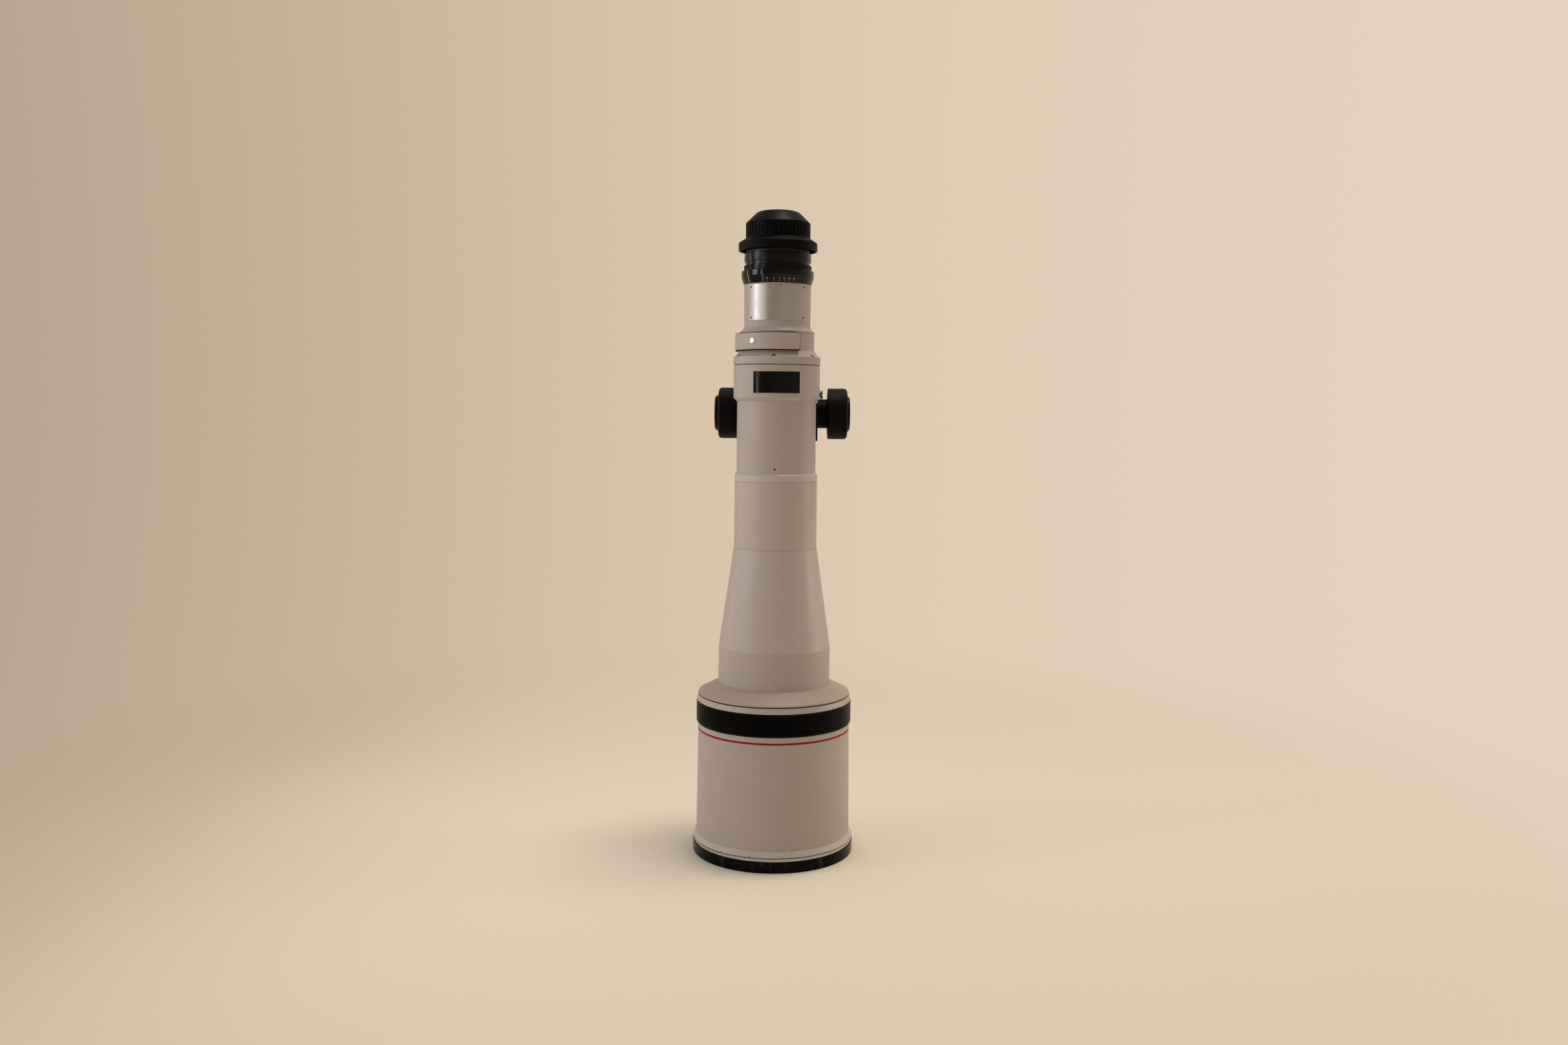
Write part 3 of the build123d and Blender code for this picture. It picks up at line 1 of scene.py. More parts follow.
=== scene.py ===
import cmath
import json
import math
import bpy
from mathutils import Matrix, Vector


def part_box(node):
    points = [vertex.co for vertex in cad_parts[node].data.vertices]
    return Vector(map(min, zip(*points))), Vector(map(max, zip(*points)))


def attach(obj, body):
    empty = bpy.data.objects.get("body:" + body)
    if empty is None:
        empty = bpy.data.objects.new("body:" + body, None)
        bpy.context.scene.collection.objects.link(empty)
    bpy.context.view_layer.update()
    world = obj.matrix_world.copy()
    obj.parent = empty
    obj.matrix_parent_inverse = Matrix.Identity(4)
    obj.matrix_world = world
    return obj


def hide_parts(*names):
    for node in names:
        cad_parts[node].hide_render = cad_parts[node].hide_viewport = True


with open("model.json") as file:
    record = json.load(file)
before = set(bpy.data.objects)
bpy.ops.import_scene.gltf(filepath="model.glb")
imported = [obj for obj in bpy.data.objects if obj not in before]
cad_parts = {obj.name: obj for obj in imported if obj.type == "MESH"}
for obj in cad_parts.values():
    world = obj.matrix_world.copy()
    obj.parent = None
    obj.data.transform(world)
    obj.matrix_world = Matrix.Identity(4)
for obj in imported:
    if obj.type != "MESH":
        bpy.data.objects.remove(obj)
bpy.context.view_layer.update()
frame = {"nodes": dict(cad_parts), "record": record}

from types import SimpleNamespace

import bmesh
import bpy
from mathutils import Matrix, Vector

# sizes in this script are millimetres, Blender's are metres
mm = 0.001
bodyOf = {n: body for body, nodes in frame["record"]["behaviour"]["bodies"].items() for n in nodes}
slotOf = {part["node"]: part["material_slot"] for part in frame["record"]["subparts"]}
print("frame loaded:", len(bodyOf), "nodes")


def place(node):
    # foot, head and outer radius of a turned node
    low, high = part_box(node)
    return low.z / mm, high.z / mm, max(high.x, -low.x) / mm


def linear(hexColour):
    # a hex colour as written for a screen, turned to the linear values that shaders take
    parts = [int(hexColour[i:i + 2], 16) / 255 for i in (1, 3, 5)]
    return [p / 12.92 if p <= 0.04045 else ((p + 0.055) / 1.055) ** 2.4 for p in parts] + [1]


def addNode(tree, kind, settings=None, links=None):
    # a setting may be a hex colour, and where a link names a node, it comes from that node's first output
    node = tree.nodes.new("ShaderNode" + kind)
    for key, value in (settings or {}).items():
        value = linear(value) if str(value).startswith("#") else value
        if isinstance(key, str) and hasattr(node, key):
            setattr(node, key, value)
        else:
            node.inputs[key].default_value = value
    for key, source in (links or {}).items():
        socket = source.outputs[0] if isinstance(source, bpy.types.Node) else source
        tree.links.new(socket, node.inputs[key])
    return node


def makeMaterial(name, recipe, *values):
    # the recipe draws the surface in coordinates that ride with the piece, and gives back its shader
    material = bpy.data.materials.new(name)
    material.use_nodes = True
    tree = material.node_tree
    tree.nodes.clear()
    output = addNode(tree, "OutputMaterial")
    coords = addNode(tree, "TexCoord").outputs["Object"]
    shader = recipe(tree, coords, *values)
    tree.links.new(shader.outputs[0], output.inputs["Surface"])
    return material


def perMm(size):
    # texture scale that gives features about this many mm wide
    return 1 / (size * mm)


camera = {
    "focal": 1950,          # px, fitted to the curvature of the lens's rings
    "imageWidth": 2352,
    "horizonRow": 618,
    "middleRow": 784,
    "sensor": 36,
    "distance": 1331,
    "height": 444.6,
    "right": 7.7,
    "roll": 0.55,           # degrees
}


def makeCamera():
    data = bpy.data.cameras.new("studioCamera")
    data.sensor_width = camera["sensor"]
    data.lens = camera["sensor"] * camera["focal"] / camera["imageWidth"]
    data.shift_y = (camera["horizonRow"] - camera["middleRow"]) / camera["imageWidth"]
    eye = bpy.data.objects.new("studioCamera", data)
    bpy.context.scene.collection.objects.link(eye)
    eye.location = (camera["right"] * mm, -camera["distance"] * mm, camera["height"] * mm)
    level = Matrix.Rotation(math.radians(90), 4, "X")
    tilt = Matrix.Rotation(math.radians(camera["roll"]), 4, "Z")
    eye.rotation_euler = (level @ tilt).to_euler()
    bpy.context.scene.camera = eye


makeCamera()
bpy.context.scene.view_settings.view_transform = "Standard"

studio = {
    # backdrop paper from left to right: place across the view, colour
    "paper": ((0.0, "#bba591"), (0.34, "#d3bfa5"), (0.6, "#dfccb5"), (1.0, "#e5d3bf")),
    "reach": 0.5,           # sideways part of the view direction where the outer colours lie
    "lightTint": "#fffaf4",
    "frontLight": 0.35,     # the dark room on the camera's side
    "backLight": 0.68,      # bright paper behind and beside the lens
    "frontPaper": 0.5,      # how bright the paper looks in metal and glass, on either side
    "backPaper": 1.0,
    "brightSide": (-0.34, 0.94, 0),
    "dimmest": -0.75,       # how far a direction points to the bright side, where the room is darkest and
    "brightest": 0.45,      # where it is brightest
    "floorPaper": "#ecdfca",
    "floorShade": "#d2bda4",
    "shadeStart": 150,      # how far left of the lens the paper begins to darken, and where it is darkest
    "shadeEnd": 1100,
    "mottle": 0.03,
    "mottleSize": 180,
    "floorRadius": 14000,
    "floorGap": 0.02,
    "soften": 600,          # keeps the far paper's colours from meeting in one point
    "fadeStart": 350,
    "fadeEnd": 1300,
}

# each softbox: degrees round from the camera's side towards the left, height, distance, the height that
# it is aimed at, its own width and height, degrees that its grid lets out, watts, the colour of its light
softboxes = {
    "overhead": (-104, 2300, 330, 330, 480, 480, 180, 16.4, "#fff6ea"),
    "windowLeft": (76, 760, 1400, 480, 420, 900, 50, 0.62, "#eef2ff"),
    "windowBack": (109, 430, 900, 500, 36, 760, 70, 0.12, "#f2f5ff"),
    "rimRight": (-100, 260, 1500, 90, 360, 400, 24, 0.13, "#fff2e2"),
    "lowFront": (51, 430, 900, 430, 40, 760, 110, 0.3, "#fff6ec"),
}


def backdropColour(tree, direction):
    # seamless paper that gets darker to the left and paler to the right, as the photograph's does
    aside = addNode(tree, "SeparateXYZ", links={0: direction}).outputs["X"]
    share = addNode(tree, "MapRange", {"From Min": -studio["reach"], "From Max": studio["reach"]},
                    {"Value": aside})
    ramp = addNode(tree, "ValToRGB", links={0: share})
    stops = ramp.color_ramp.elements
    for across, colour in studio["paper"]:
        stop = stops[-1] if across == 1 else stops[0] if across == 0 else stops.new(across)
        stop.color = linear(colour)
    return ramp


def makeWorld():
    world = bpy.data.worlds.new("studioAir")
    bpy.context.scene.world = world
    world.use_nodes = True
    tree = world.node_tree
    tree.nodes.clear()
    direction = addNode(tree, "TexCoord").outputs["Generated"]
    paper = backdropColour(tree, direction)
    rays = addNode(tree, "LightPath").outputs
    ahead = addNode(tree, "VectorMath", {"operation": "DOT_PRODUCT", 1: studio["brightSide"]}, {0: direction})
    # metal and glass show the paper too, and dimmer on the camera's side, where none hangs
    strength, mirrored = [
        addNode(tree, "MapRange", {"From Min": studio["dimmest"], "From Max": studio["brightest"],
                                   "To Min": studio[front], "To Max": studio[back],
                                   "interpolation_type": "SMOOTHSTEP"}, {"Value": ahead.outputs["Value"]})
        for front, back in (("frontLight", "backLight"), ("frontPaper", "backPaper"))]
    light = addNode(tree, "Background", {"Color": studio["lightTint"]}, {"Strength": strength})
    shown = addNode(tree, "Math", {"operation": "MAXIMUM"}, {0: rays["Is Camera Ray"], 1: mirrored})
    seen = addNode(tree, "Background", links={"Color": paper, "Strength": shown})
    direct = addNode(tree, "Math", {"operation": "MAXIMUM"},
                     {0: rays["Is Camera Ray"], 1: rays["Is Transmission Ray"]})
    clear = addNode(tree, "Math", {"operation": "MAXIMUM"}, {0: direct, 1: rays["Is Glossy Ray"]})
    mix = addNode(tree, "MixShader", links={0: clear, 1: light, 2: seen})
    addNode(tree, "OutputWorld", links={"Surface": mix})


def seamlessPaper(tree, coords):
    # seamless paper: matt and faintly mottled, and it runs into the backdrop further out
    mottle = addNode(tree, "TexNoise", {"Scale": perMm(studio["mottleSize"]), "Detail": 3},
                     {"Vector": coords})
    across = addNode(tree, "SeparateXYZ", links={0: coords}).outputs["X"]
    aside = addNode(tree, "MapRange", {"From Min": -studio["shadeStart"] * mm,
                                       "From Max": -studio["shadeEnd"] * mm,
                                       "interpolation_type": "SMOOTHSTEP"}, {"Value": across})
    share = addNode(tree, "Math", {"operation": "MULTIPLY_ADD", 1: studio["mottle"]}, {0: mottle, 2: aside})
    tone = addNode(tree, "Mix", {"data_type": "RGBA", 6: studio["floorPaper"],
                                 7: studio["floorShade"]}, {0: share})
    paper = addNode(tree, "BsdfPrincipled", {"Roughness": 0.85, "Specular IOR Level": 0.15},
                    {"Base Color": tone.outputs[2]})
    camToFloor = (0, camera["distance"] * mm, studio["soften"] * mm)
    fromFront = addNode(tree, "VectorMath", {"operation": "ADD", 1: camToFloor}, {0: coords})
    direction = addNode(tree, "VectorMath", {"operation": "NORMALIZE"}, {0: fromFront})
    far = addNode(tree, "Emission", {"Strength": 1.0}, {"Color": backdropColour(tree, direction)})
    distance = addNode(tree, "VectorMath", {"operation": "LENGTH"}, {0: coords}).outputs["Value"]
    fade = addNode(tree, "MapRange", {"From Min": studio["fadeStart"] * mm,
                                      "From Max": studio["fadeEnd"] * mm,
                                      "interpolation_type": "SMOOTHERSTEP"}, {"Value": distance})
    return addNode(tree, "MixShader", links={0: fade, 1: paper, 2: far})


def makeFloor():
    bpy.ops.mesh.primitive_circle_add(vertices=96, radius=studio["floorRadius"] * mm, fill_type="NGON",
                                      location=(0, 0, -studio["floorGap"] * mm))
    floor = bpy.context.object
    floor.name = "studioFloor"
    floor.data.materials.append(makeMaterial("seamlessPaper", seamlessPaper))


def makeSoftboxes():
    for name, (turn, height, distance, aimHeight, wide, tall, grid, watts, colour) in softboxes.items():
        data = bpy.data.lights.new(name, "AREA")
        data.shape = "RECTANGLE"
        data.size, data.size_y = wide * mm, tall * mm
        data.spread = math.radians(grid)
        data.energy = watts
        data.color = linear(colour)[:3]
        lamp = bpy.data.objects.new(name, data)
        bpy.context.scene.collection.objects.link(lamp)
        angle = math.radians(-90 - turn)
        lamp.location = (distance * mm * math.cos(angle), distance * mm * math.sin(angle), height * mm)
        aim = Vector((0, 0, aimHeight * mm)) - lamp.location
        lamp.rotation_euler = aim.to_track_quat("-Z", "Y").to_euler()


makeWorld()
makeFloor()
makeSoftboxes()
print("studio ready")

# sizes in mm of what shows in the paint: a bump of the sprayed coat, a stain, a touch, a speck, a chip's edge
enamel = {"peel": 0.9, "blotch": 70, "touch": 16, "dust": 0.7, "ragged": 0.8}

# knocks and scratches in the paint, and one painted highlight: x, y, z, half width and half height of each,
# its colour
paintMarks = (
    (30.5, -71.5, 153.7, 0.5, 0.35, "#4a4036"), (-49.6, -63.2, 15.6, 1.5, 0.3, "#5b5044"),
    (-21.8, -77.4, 15.3, 0.8, 0.6, "#3a3129"), (19.4, -77.4, 18.9, 1.3, 0.5, "#40362c"),
    (22.6, -73.5, 93.0, 0.35, 0.35, "#6e6358"), (-23.4, -73.3, 81.8, 0.3, 0.3, "#75695d"),
    (27.8, -71.7, 112.1, 0.3, 0.3, "#766a5e"), (8.8, -76.4, 55.3, 0.35, 0.3, "#6e6358"),
    (2.0, -40.3, 434.7, 0.5, 1.1, "#857a6d"), (37.6, -14.8, 448.5, 0.9, 0.8, "#d8d2c6"),
    (39.1, -9.8, 443.0, 1.6, 1.2, "#ded8cc"), (38.6, -11.9, 434.5, 1.1, 0.8, "#d8d2c6"),
    (39.5, -8.0, 427.0, 1.8, 1.3, "#d8d2c6"), (38.9, -10.6, 420.5, 1.2, 0.9, "#d8d2c6"),
    # the first mark on the next line, pale, sits at the index ring's left notch: a painted highlight on the
    # notch's end wall
    (-36.2, -17.8, 503.6, 1.5, 1.2, "#e4ded2"), (38.6, -11.0, 504.4, 1.3, 0.4, "#4a4138"),
    (27.6, -32.1, 456.7, 0.5, 0.45, "#3d342c"), (30.4, -29.4, 456.7, 0.5, 0.45, "#3d342c"),
    (33.0, -26.5, 456.7, 0.5, 0.45, "#3d342c"), (-24.5, -35.2, 507.5, 1.0, 0.3, "#6a5c4e"),
    (-8.0, -39.0, 454.9, 1.4, 0.35, "#5d5146"), (24.9, -33.6, 456.2, 0.6, 0.3, "#6a5c4e"),
    (1.2, -40.3, 407.2, 0.7, 0.6, "#6a5f54"), (13.5, -38.0, 416.0, 0.5, 0.6, "#9c9184"),
)


def handledGloss(tree, coords, size, detail, smooth, rough, most=0.7):
    # roughness that wanders between two values, as hands and cloths leave a surface
    touched = addNode(tree, "TexNoise", {"Scale": perMm(size), "Detail": detail}, {"Vector": coords})
    return addNode(tree, "MapRange", {"From Min": 0.3, "From Max": most, "To Min": smooth, "To Max": rough},
                   {"Value": touched})


def pebbles(tree, coords, size, strength, depth):
    # the fine bumps of a sprayed coat or of a mould's wall
    grain = addNode(tree, "TexNoise", {"Scale": perMm(size), "Detail": 2}, {"Vector": coords})
    return addNode(tree, "Bump", {"Strength": strength, "Distance": depth * mm}, {"Height": grain})


def latheRings(tree, coords, width, detail, strength, depth):
    # the fine rings round the axis that a lathe's tool leaves
    height = addNode(tree, "SeparateXYZ", links={0: coords}).outputs["Z"]
    around = addNode(tree, "CombineXYZ", links={"Z": height})
    lines = addNode(tree, "TexNoise", {"Scale": perMm(width), "Detail": detail}, {"Vector": around})
    return addNode(tree, "Bump", {"Strength": strength, "Distance": depth * mm}, {"Height": lines})


def unrolled(tree, coords, angleScale, heightScale):
    # coordinates that run round the lens's wall and up it, each at its own scale
    parts = addNode(tree, "SeparateXYZ", links={0: coords}).outputs
    angle = addNode(tree, "Math", {"operation": "ARCTAN2"}, {0: parts["X"], 1: parts["Y"]})
    around = addNode(tree, "Math", {"operation": "MULTIPLY", 1: angleScale}, {0: angle})
    height = addNode(tree, "Math", {"operation": "MULTIPLY", 1: heightScale}, {0: parts["Z"]})
    return addNode(tree, "CombineXYZ", links={"X": around, "Z": height})


def satinEnamel(tree, coords, light, dark):
    # satin enamel, sprayed and baked on cast alloy: an even warm grey with a soft sheen, the faint
    # pebbling of a sprayed coat, slight handling stains, a few chips and scratches, and one painted highlight
    blotch = addNode(tree, "TexNoise", {"Scale": perMm(enamel["blotch"]), "Detail": 4}, {"Vector": coords})
    tone = addNode(tree, "Mix", {"data_type": "RGBA", 6: light, 7: dark}, {0: blotch})
    speck = addNode(tree, "TexNoise", {"Scale": perMm(enamel["dust"]), "Detail": 1}, {"Vector": coords})
    dust = addNode(tree, "MapRange", {"From Min": 0.785, "From Max": 0.82}, {"Value": speck})
    colour = addNode(tree, "Mix", {"data_type": "RGBA", 7: "#6e6454"},
                     {0: dust, 6: tone.outputs[2]}).outputs[2]
    ragged = addNode(tree, "TexNoise", {"Scale": perMm(enamel["ragged"]), "Detail": 3}, {"Vector": coords})
    edge = addNode(tree, "MapRange", {"From Min": 0.3, "From Max": 0.7, "To Min": 0.3, "To Max": 1.7},
                   {"Value": ragged})
    for x, y, z, wide, high, markColour in paintMarks:
        spot = (x * mm, y * mm, z * mm)
        away = addNode(tree, "VectorMath", {"operation": "SUBTRACT", 1: spot}, {0: coords})
        scaled = addNode(tree, "VectorMath", {"operation": "DIVIDE", 1: (wide * mm, wide * mm, high * mm)},
                         {0: away})
        reach = addNode(tree, "VectorMath", {"operation": "LENGTH"}, {0: scaled}).outputs["Value"]
        inside = addNode(tree, "Math", {"operation": "LESS_THAN"}, {0: reach, 1: edge})
        colour = addNode(tree, "Mix", {"data_type": "RGBA", 7: markColour},
                         {0: inside, 6: colour}).outputs[2]
    rough = handledGloss(tree, coords, enamel["touch"], 5, 0.36, 0.5)
    peel = pebbles(tree, coords, enamel["peel"], 0.16, 0.05)
    return addNode(tree, "BsdfPrincipled", {"Specular IOR Level": 0.42},
                   {"Base Color": colour, "Roughness": rough, "Normal": peel})


def turnedMetal(tree, coords, hexColour, roughness, lineWidth):
    # bare metal, turned on a lathe: fine rings round the axis that stretch the highlights upright
    rough = handledGloss(tree, coords, 9, 4, roughness - 0.07, roughness + 0.12, 0.75)
    return addNode(tree, "BsdfPrincipled", {"Base Color": hexColour, "Metallic": 1.0},
                   {"Roughness": rough, "Normal": latheRings(tree, coords, lineWidth, 3, 0.25, 0.03)})


def mouldedPlastic(tree, coords, hexColour, roughness, spread, grain, depth, gloss):
    # plastic or rubber as it leaves the mould: one colour all through, with fine grain, and the
    # smears and dust of use in its gloss
    dustField = addNode(tree, "TexNoise", {"Scale": perMm(0.8), "Detail": 2}, {"Vector": coords})
    dust = addNode(tree, "MapRange", {"From Min": 0.74, "From Max": 0.8, "To Max": 0.2},
                   {"Value": dustField})
    colour = addNode(tree, "Mix", {"data_type": "RGBA", 6: hexColour, 7: "#3a3631"}, {0: dust})
    return addNode(tree, "BsdfPrincipled", {"Specular IOR Level": gloss},
                   {"Base Color": colour.outputs[2],
                    "Roughness": handledGloss(tree, coords, 22, 5, roughness, roughness + spread),
                    "Normal": pebbles(tree, coords, grain, 0.3, depth)})


def polishedPlastic(tree, coords):
    # ABS, moulded in a polished tool: deep black gloss, with upright pale streaks that are painted
    # reflections in its colour
    paintedReflections = addNode(tree, "TexNoise", {"Scale": 9.0, "Detail": 5, "Roughness": 0.6},
                    {"Vector": unrolled(tree, coords, 1, 4)})
    streak = addNode(tree, "MapRange", {"From Min": 0.53, "From Max": 0.74}, {"Value": paintedReflections})
    # painted reflection: the streaks lighten the black where the wall would mirror the room
    colour = addNode(tree, "Mix", {"data_type": "RGBA", 6: "#020202", 7: "#302823"}, {0: streak})
    rough = handledGloss(tree, coords, 14, 5, 0.1, 0.22)
    return addNode(tree, "BsdfPrincipled", {"Specular IOR Level": 0.09},
                   {"Base Color": colour.outputs[2], "Roughness": rough})


def anodisedAluminium(tree, coords, hexColour, roughness):
    # black anodised aluminium, turned first: nearly black, with thin lathe rings that catch the light
    wear = addNode(tree, "TexNoise", {"Scale": perMm(7), "Detail": 5}, {"Vector": coords})
    tone = addNode(tree, "Mix", {"data_type": "RGBA", 6: hexColour, 7: "#141210"}, {0: wear})
    rough = addNode(tree, "MapRange", {"From Min": 0.3, "From Max": 0.7, "To Min": roughness,
                                       "To Max": roughness + 0.15}, {"Value": wear})
    return addNode(tree, "BsdfPrincipled", {"Specular IOR Level": 0.3},
                   {"Base Color": tone.outputs[2], "Roughness": rough,
                    "Normal": latheRings(tree, coords, 0.3, 2, 0.2, 0.02)})


def brushedSheet(tree, coords):
    # aluminium sheet, brushed along the band before it was rolled: fine lines round the tube, which
    # draw each lamp out into an upright streak
    hair = addNode(tree, "TexNoise", {"Scale": perMm(0.22), "Detail": 4},
                   {"Vector": unrolled(tree, coords, 0.0009, 1)})
    tone = addNode(tree, "Mix", {"data_type": "RGBA", 6: "#a19d98", 7: "#bdb9b4"}, {0: hair})
    bump = addNode(tree, "Bump", {"Strength": 0.35, "Distance": 0.03 * mm}, {"Height": hair})
    return addNode(tree, "BsdfPrincipled", {"Metallic": 1.0},
                   {"Base Color": tone.outputs[2], "Roughness": handledGloss(tree, coords, 8, 4, 0.36, 0.46),
                    "Normal": bump})


def coatedGlass(tree, coords):
    # optical glass, ground and polished: clear, with the faint green of its coating
    film = addNode(tree, "TexNoise", {"Scale": perMm(30), "Detail": 3}, {"Vector": coords})
    rough = addNode(tree, "MapRange", {"To Min": 0.0, "To Max": 0.03}, {"Value": film})
    return addNode(tree, "BsdfPrincipled", {"Base Color": "#e6f2ec", "Transmission Weight": 1.0,
                                            "IOR": 1.52, "Coat Weight": 0.5, "Coat Tint": "#b8e0c8"},
                   {"Roughness": rough})


def wipedPaint(tree, coords):
    # paint wiped into engraved figures: matt white, a little worn and yellowed
    worn = addNode(tree, "TexNoise", {"Scale": perMm(0.8), "Detail": 3}, {"Vector": coords})
    tone = addNode(tree, "Mix", {"data_type": "RGBA", 6: "#e8e2d6", 7: "#8d867a"}, {0: worn})
    return addNode(tree, "BsdfPrincipled", {"Roughness": 0.6}, {"Base Color": tone.outputs[2]})


# each finish: its material's name, how it is made and that surface's values, which are
# for enamel its lighter and darker tone, for turned metal its colour, roughness and the width of its rings,
# for moulded plastic its colour, roughness, spread of that, width and depth of its grain, and gloss
recipes = {
    "painted_alloy": ("satinEnamel", satinEnamel, "#afa398", "#a99d91"),
    # a paler copy of the enamel: on the bead it is painted light, where the bead's face turns up to the light
    # from above; the joint ring takes it too
    "pale_enamel": ("paleEnamel", satinEnamel, "#beb3a7", "#b7ab9f"),
    # a darker copy of the enamel, painted shade on the shoulder ring, whose face turns up to the lamp above
    "sallow_enamel": ("sallowEnamel", satinEnamel, "#a99a8a", "#a39282"),
    # a lighter copy of the enamel, painted light on the cone, which slopes up towards the light above
    "clear_enamel": ("clearEnamel", satinEnamel, "#b5a99e", "#afa397"),
    "bare_alloy": ("turnedAluminium", turnedMetal, "#b4b4b6", 0.36, 0.25),
    "chrome_plate": ("chromedBrass", turnedMetal, "#d9d7d4", 0.14, 0.4),
    "steel": ("turnedSteel", turnedMetal, "#9b968f", 0.32, 0.3),
    # dark steel: on the bayonet flange its darkness is painted shade, as the flange lies under the rear cap's
    # flange; the plate screws take it too
    "dark_steel": ("blackenedSteel", turnedMetal, "#3b3733", 0.4, 0.2),
    "worn_steel": ("dulledSteel", turnedMetal, "#5f5c58", 0.42, 0.3),
    "bronze": ("turnedBronze", turnedMetal, "#b08a54", 0.30, 0.3),
    "red_enamel": ("redEnamel", mouldedPlastic, "#930c06", 0.45, 0.1, 0.5, 0.01, 0.15),
    "band_rubber": ("mouldedRubber", mouldedPlastic, "#040303", 0.22, 0.1, 0.3, 0.02, 0.1),
    "black_enamel": ("glossBlackEnamel", mouldedPlastic, "#040404", 0.16, 0.14, 0.6, 0.01, 0.22),
    "gloss_enamel": ("polishedBlackEnamel", mouldedPlastic, "#040303", 0.09, 0.08, 0.6, 0.004, 0.26),
    "label_film": ("glossLabelPlate", mouldedPlastic, "#040405", 0.12, 0.1, 0.8, 0.006, 0.2),
    "knob_rubber": ("knobRubber", mouldedPlastic, "#040303", 0.5, 0.15, 0.35, 0.03, 0.1),
    "rear_cap_plastic": ("satinCapPlastic", mouldedPlastic, "#080707", 0.42, 0.14, 0.4, 0.02, 0.07),
    "cap_plastic": ("polishedCapPlastic", polishedPlastic),
    "black_anodised": ("blackAnodised", anodisedAluminium, "#050505", 0.34),
    "blade_steel": ("bluedSteel", anodisedAluminium, "#101114", 0.4),
    "brushed_plate": ("brushedAluminium", brushedSheet),
    "optical_glass": ("coatedGlass", coatedGlass),
    "engraving": ("engravedWhite", wipedPaint),
}
finishes = {key: makeMaterial(*recipe) for key, recipe in recipes.items()}
print("materials ready")


def coat(piece, finish, sharp):
    # the finish, and soft shading up to edges this many degrees sharp
    piece.data.materials.clear()
    piece.data.materials.append(finishes[finish])
    piece.data.shade_smooth()
    piece.data.set_sharp_from_angle(angle=math.radians(sharp))


for node, piece in frame["nodes"].items():
    coat(piece, slotOf[node], 30)


def arcThrough(first, middle, last, steps=8):
    # points on the circle through three profile points, the last one left out
    a, b, c = (complex(*point) for point in (first, middle, last))
    ratio = (c - a) / (b - a)
    centre = a - (a - b) * (ratio - abs(ratio) ** 2) / (2j * ratio.imag)
    turn = cmath.phase((b - centre) / (a - centre)) + cmath.phase((c - centre) / (b - centre))
    points = [centre + (a - centre) * cmath.rect(1, turn * k / steps) for k in range(steps)]
    return [(point.real, point.imag, 0) for point in points]


def eased(corners, bevel, steps=3):
    # the profile with a small arc at each corner; a third number on a corner is its own bevel
    points = []
    for i, corner in enumerate(corners):
        here = Vector(corner[:2])
        back = Vector(corners[i - 1][:2]) - here
        ahead = Vector(corners[(i + 1) % len(corners)][:2]) - here
        size = corner[2] if len(corner) > 2 else bevel
        reach = min(size, 0.45 * back.length, 0.45 * ahead.length)
        if reach < 0.02 or here.x < 0.001:
            points.append(here)
            continue
        start, end = here + back.normalized() * reach, here + ahead.normalized() * reach
        for step in range(steps + 1):
            t = step / steps
            points.append(start * (1 - t) ** 2 + here * 2 * t * (1 - t) + end * t * t)
    return points


def meshPiece(name, bm, matrix=None):
    bmesh.ops.remove_doubles(bm, verts=bm.verts, dist=0.0005 * mm)
    bmesh.ops.recalc_face_normals(bm, faces=bm.faces)
    if matrix:
        bm.transform(matrix)
    mesh = bpy.data.meshes.new(name)
    bm.to_mesh(mesh)
    bm.free()
    piece = bpy.data.objects.new(name, mesh)
    bpy.context.scene.collection.objects.link(piece)
    return piece


def turnedMesh(corners, bevel=0.3, segments=192, start=0, sweep=360, shape=None):
    # lathe work about Z from radius and height in mm; a part turn starts at an angle from the front
    profile = eased(corners, bevel)
    whole = sweep == 360
    bm = bmesh.new()
    poles = {i: bm.verts.new((0, 0, p[1] * mm)) for i, p in enumerate(profile) if p[0] < 0.001}
    rings = []
    for k in range(segments if whole else segments + 1):
        angle = math.radians(start - 90 + sweep * k / segments)
        ring = []
        for i, (radius, height) in enumerate(profile):
            reach = shape(radius, height, angle) if shape else radius
            spot = (reach * mm * math.cos(angle), reach * mm * math.sin(angle), height * mm)
            ring.append(poles[i] if i in poles else bm.verts.new(spot))
        rings.append(ring)
    for k in range(segments):
        near, far = rings[k], rings[(k + 1) % len(rings)]
        for i in range(len(profile)):
            j = (i + 1) % len(profile)
            if not (i in poles and j in poles):
                bm.faces.new(dict.fromkeys((near[i], far[i], far[j], near[j])))
    if not whole:
        bm.faces.new(rings[0])
        bm.faces.new(rings[-1])
    return bm


def turned(name, corners, matrix=None, **how):
    return meshPiece(name, turnedMesh(corners, **how), matrix)


def carve(piece, cutter):
    # takes the cutter's shape out of the piece
    difference = piece.modifiers.new("carve", "BOOLEAN")
    difference.object = cutter
    difference.solver = "EXACT"
    bpy.context.view_layer.update()
    carved = bpy.data.meshes.new_from_object(piece.evaluated_get(bpy.context.evaluated_depsgraph_get()))
    piece.modifiers.clear()
    piece.data = carved
    bpy.data.objects.remove(cutter)
    return piece


def drill(piece, radius, matrix, depth):
    # a round hole, cut along the matrix's Z
    tool = [(0, -depth), (radius, -depth), (radius, depth), (0, depth)]
    return carve(piece, turned("drill", tool, matrix, bevel=0, segments=32))


def trim(piece, slot, node, look=None, sharp=32):
    # finishes a piece and rides it on the node's body; its look is the slot's finish or another one
    coat(piece, look or slot, sharp)
    normals = piece.modifiers.new("evenNormals", "WEIGHTED_NORMAL")
    normals.keep_sharp = True
    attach(piece, bodyOf[node])


def dress(piece, node, look=None, sharp=32):
    # as trim, for a piece that stands for the node
    trim(piece, slotOf[node], node, look, sharp)
    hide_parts(node)


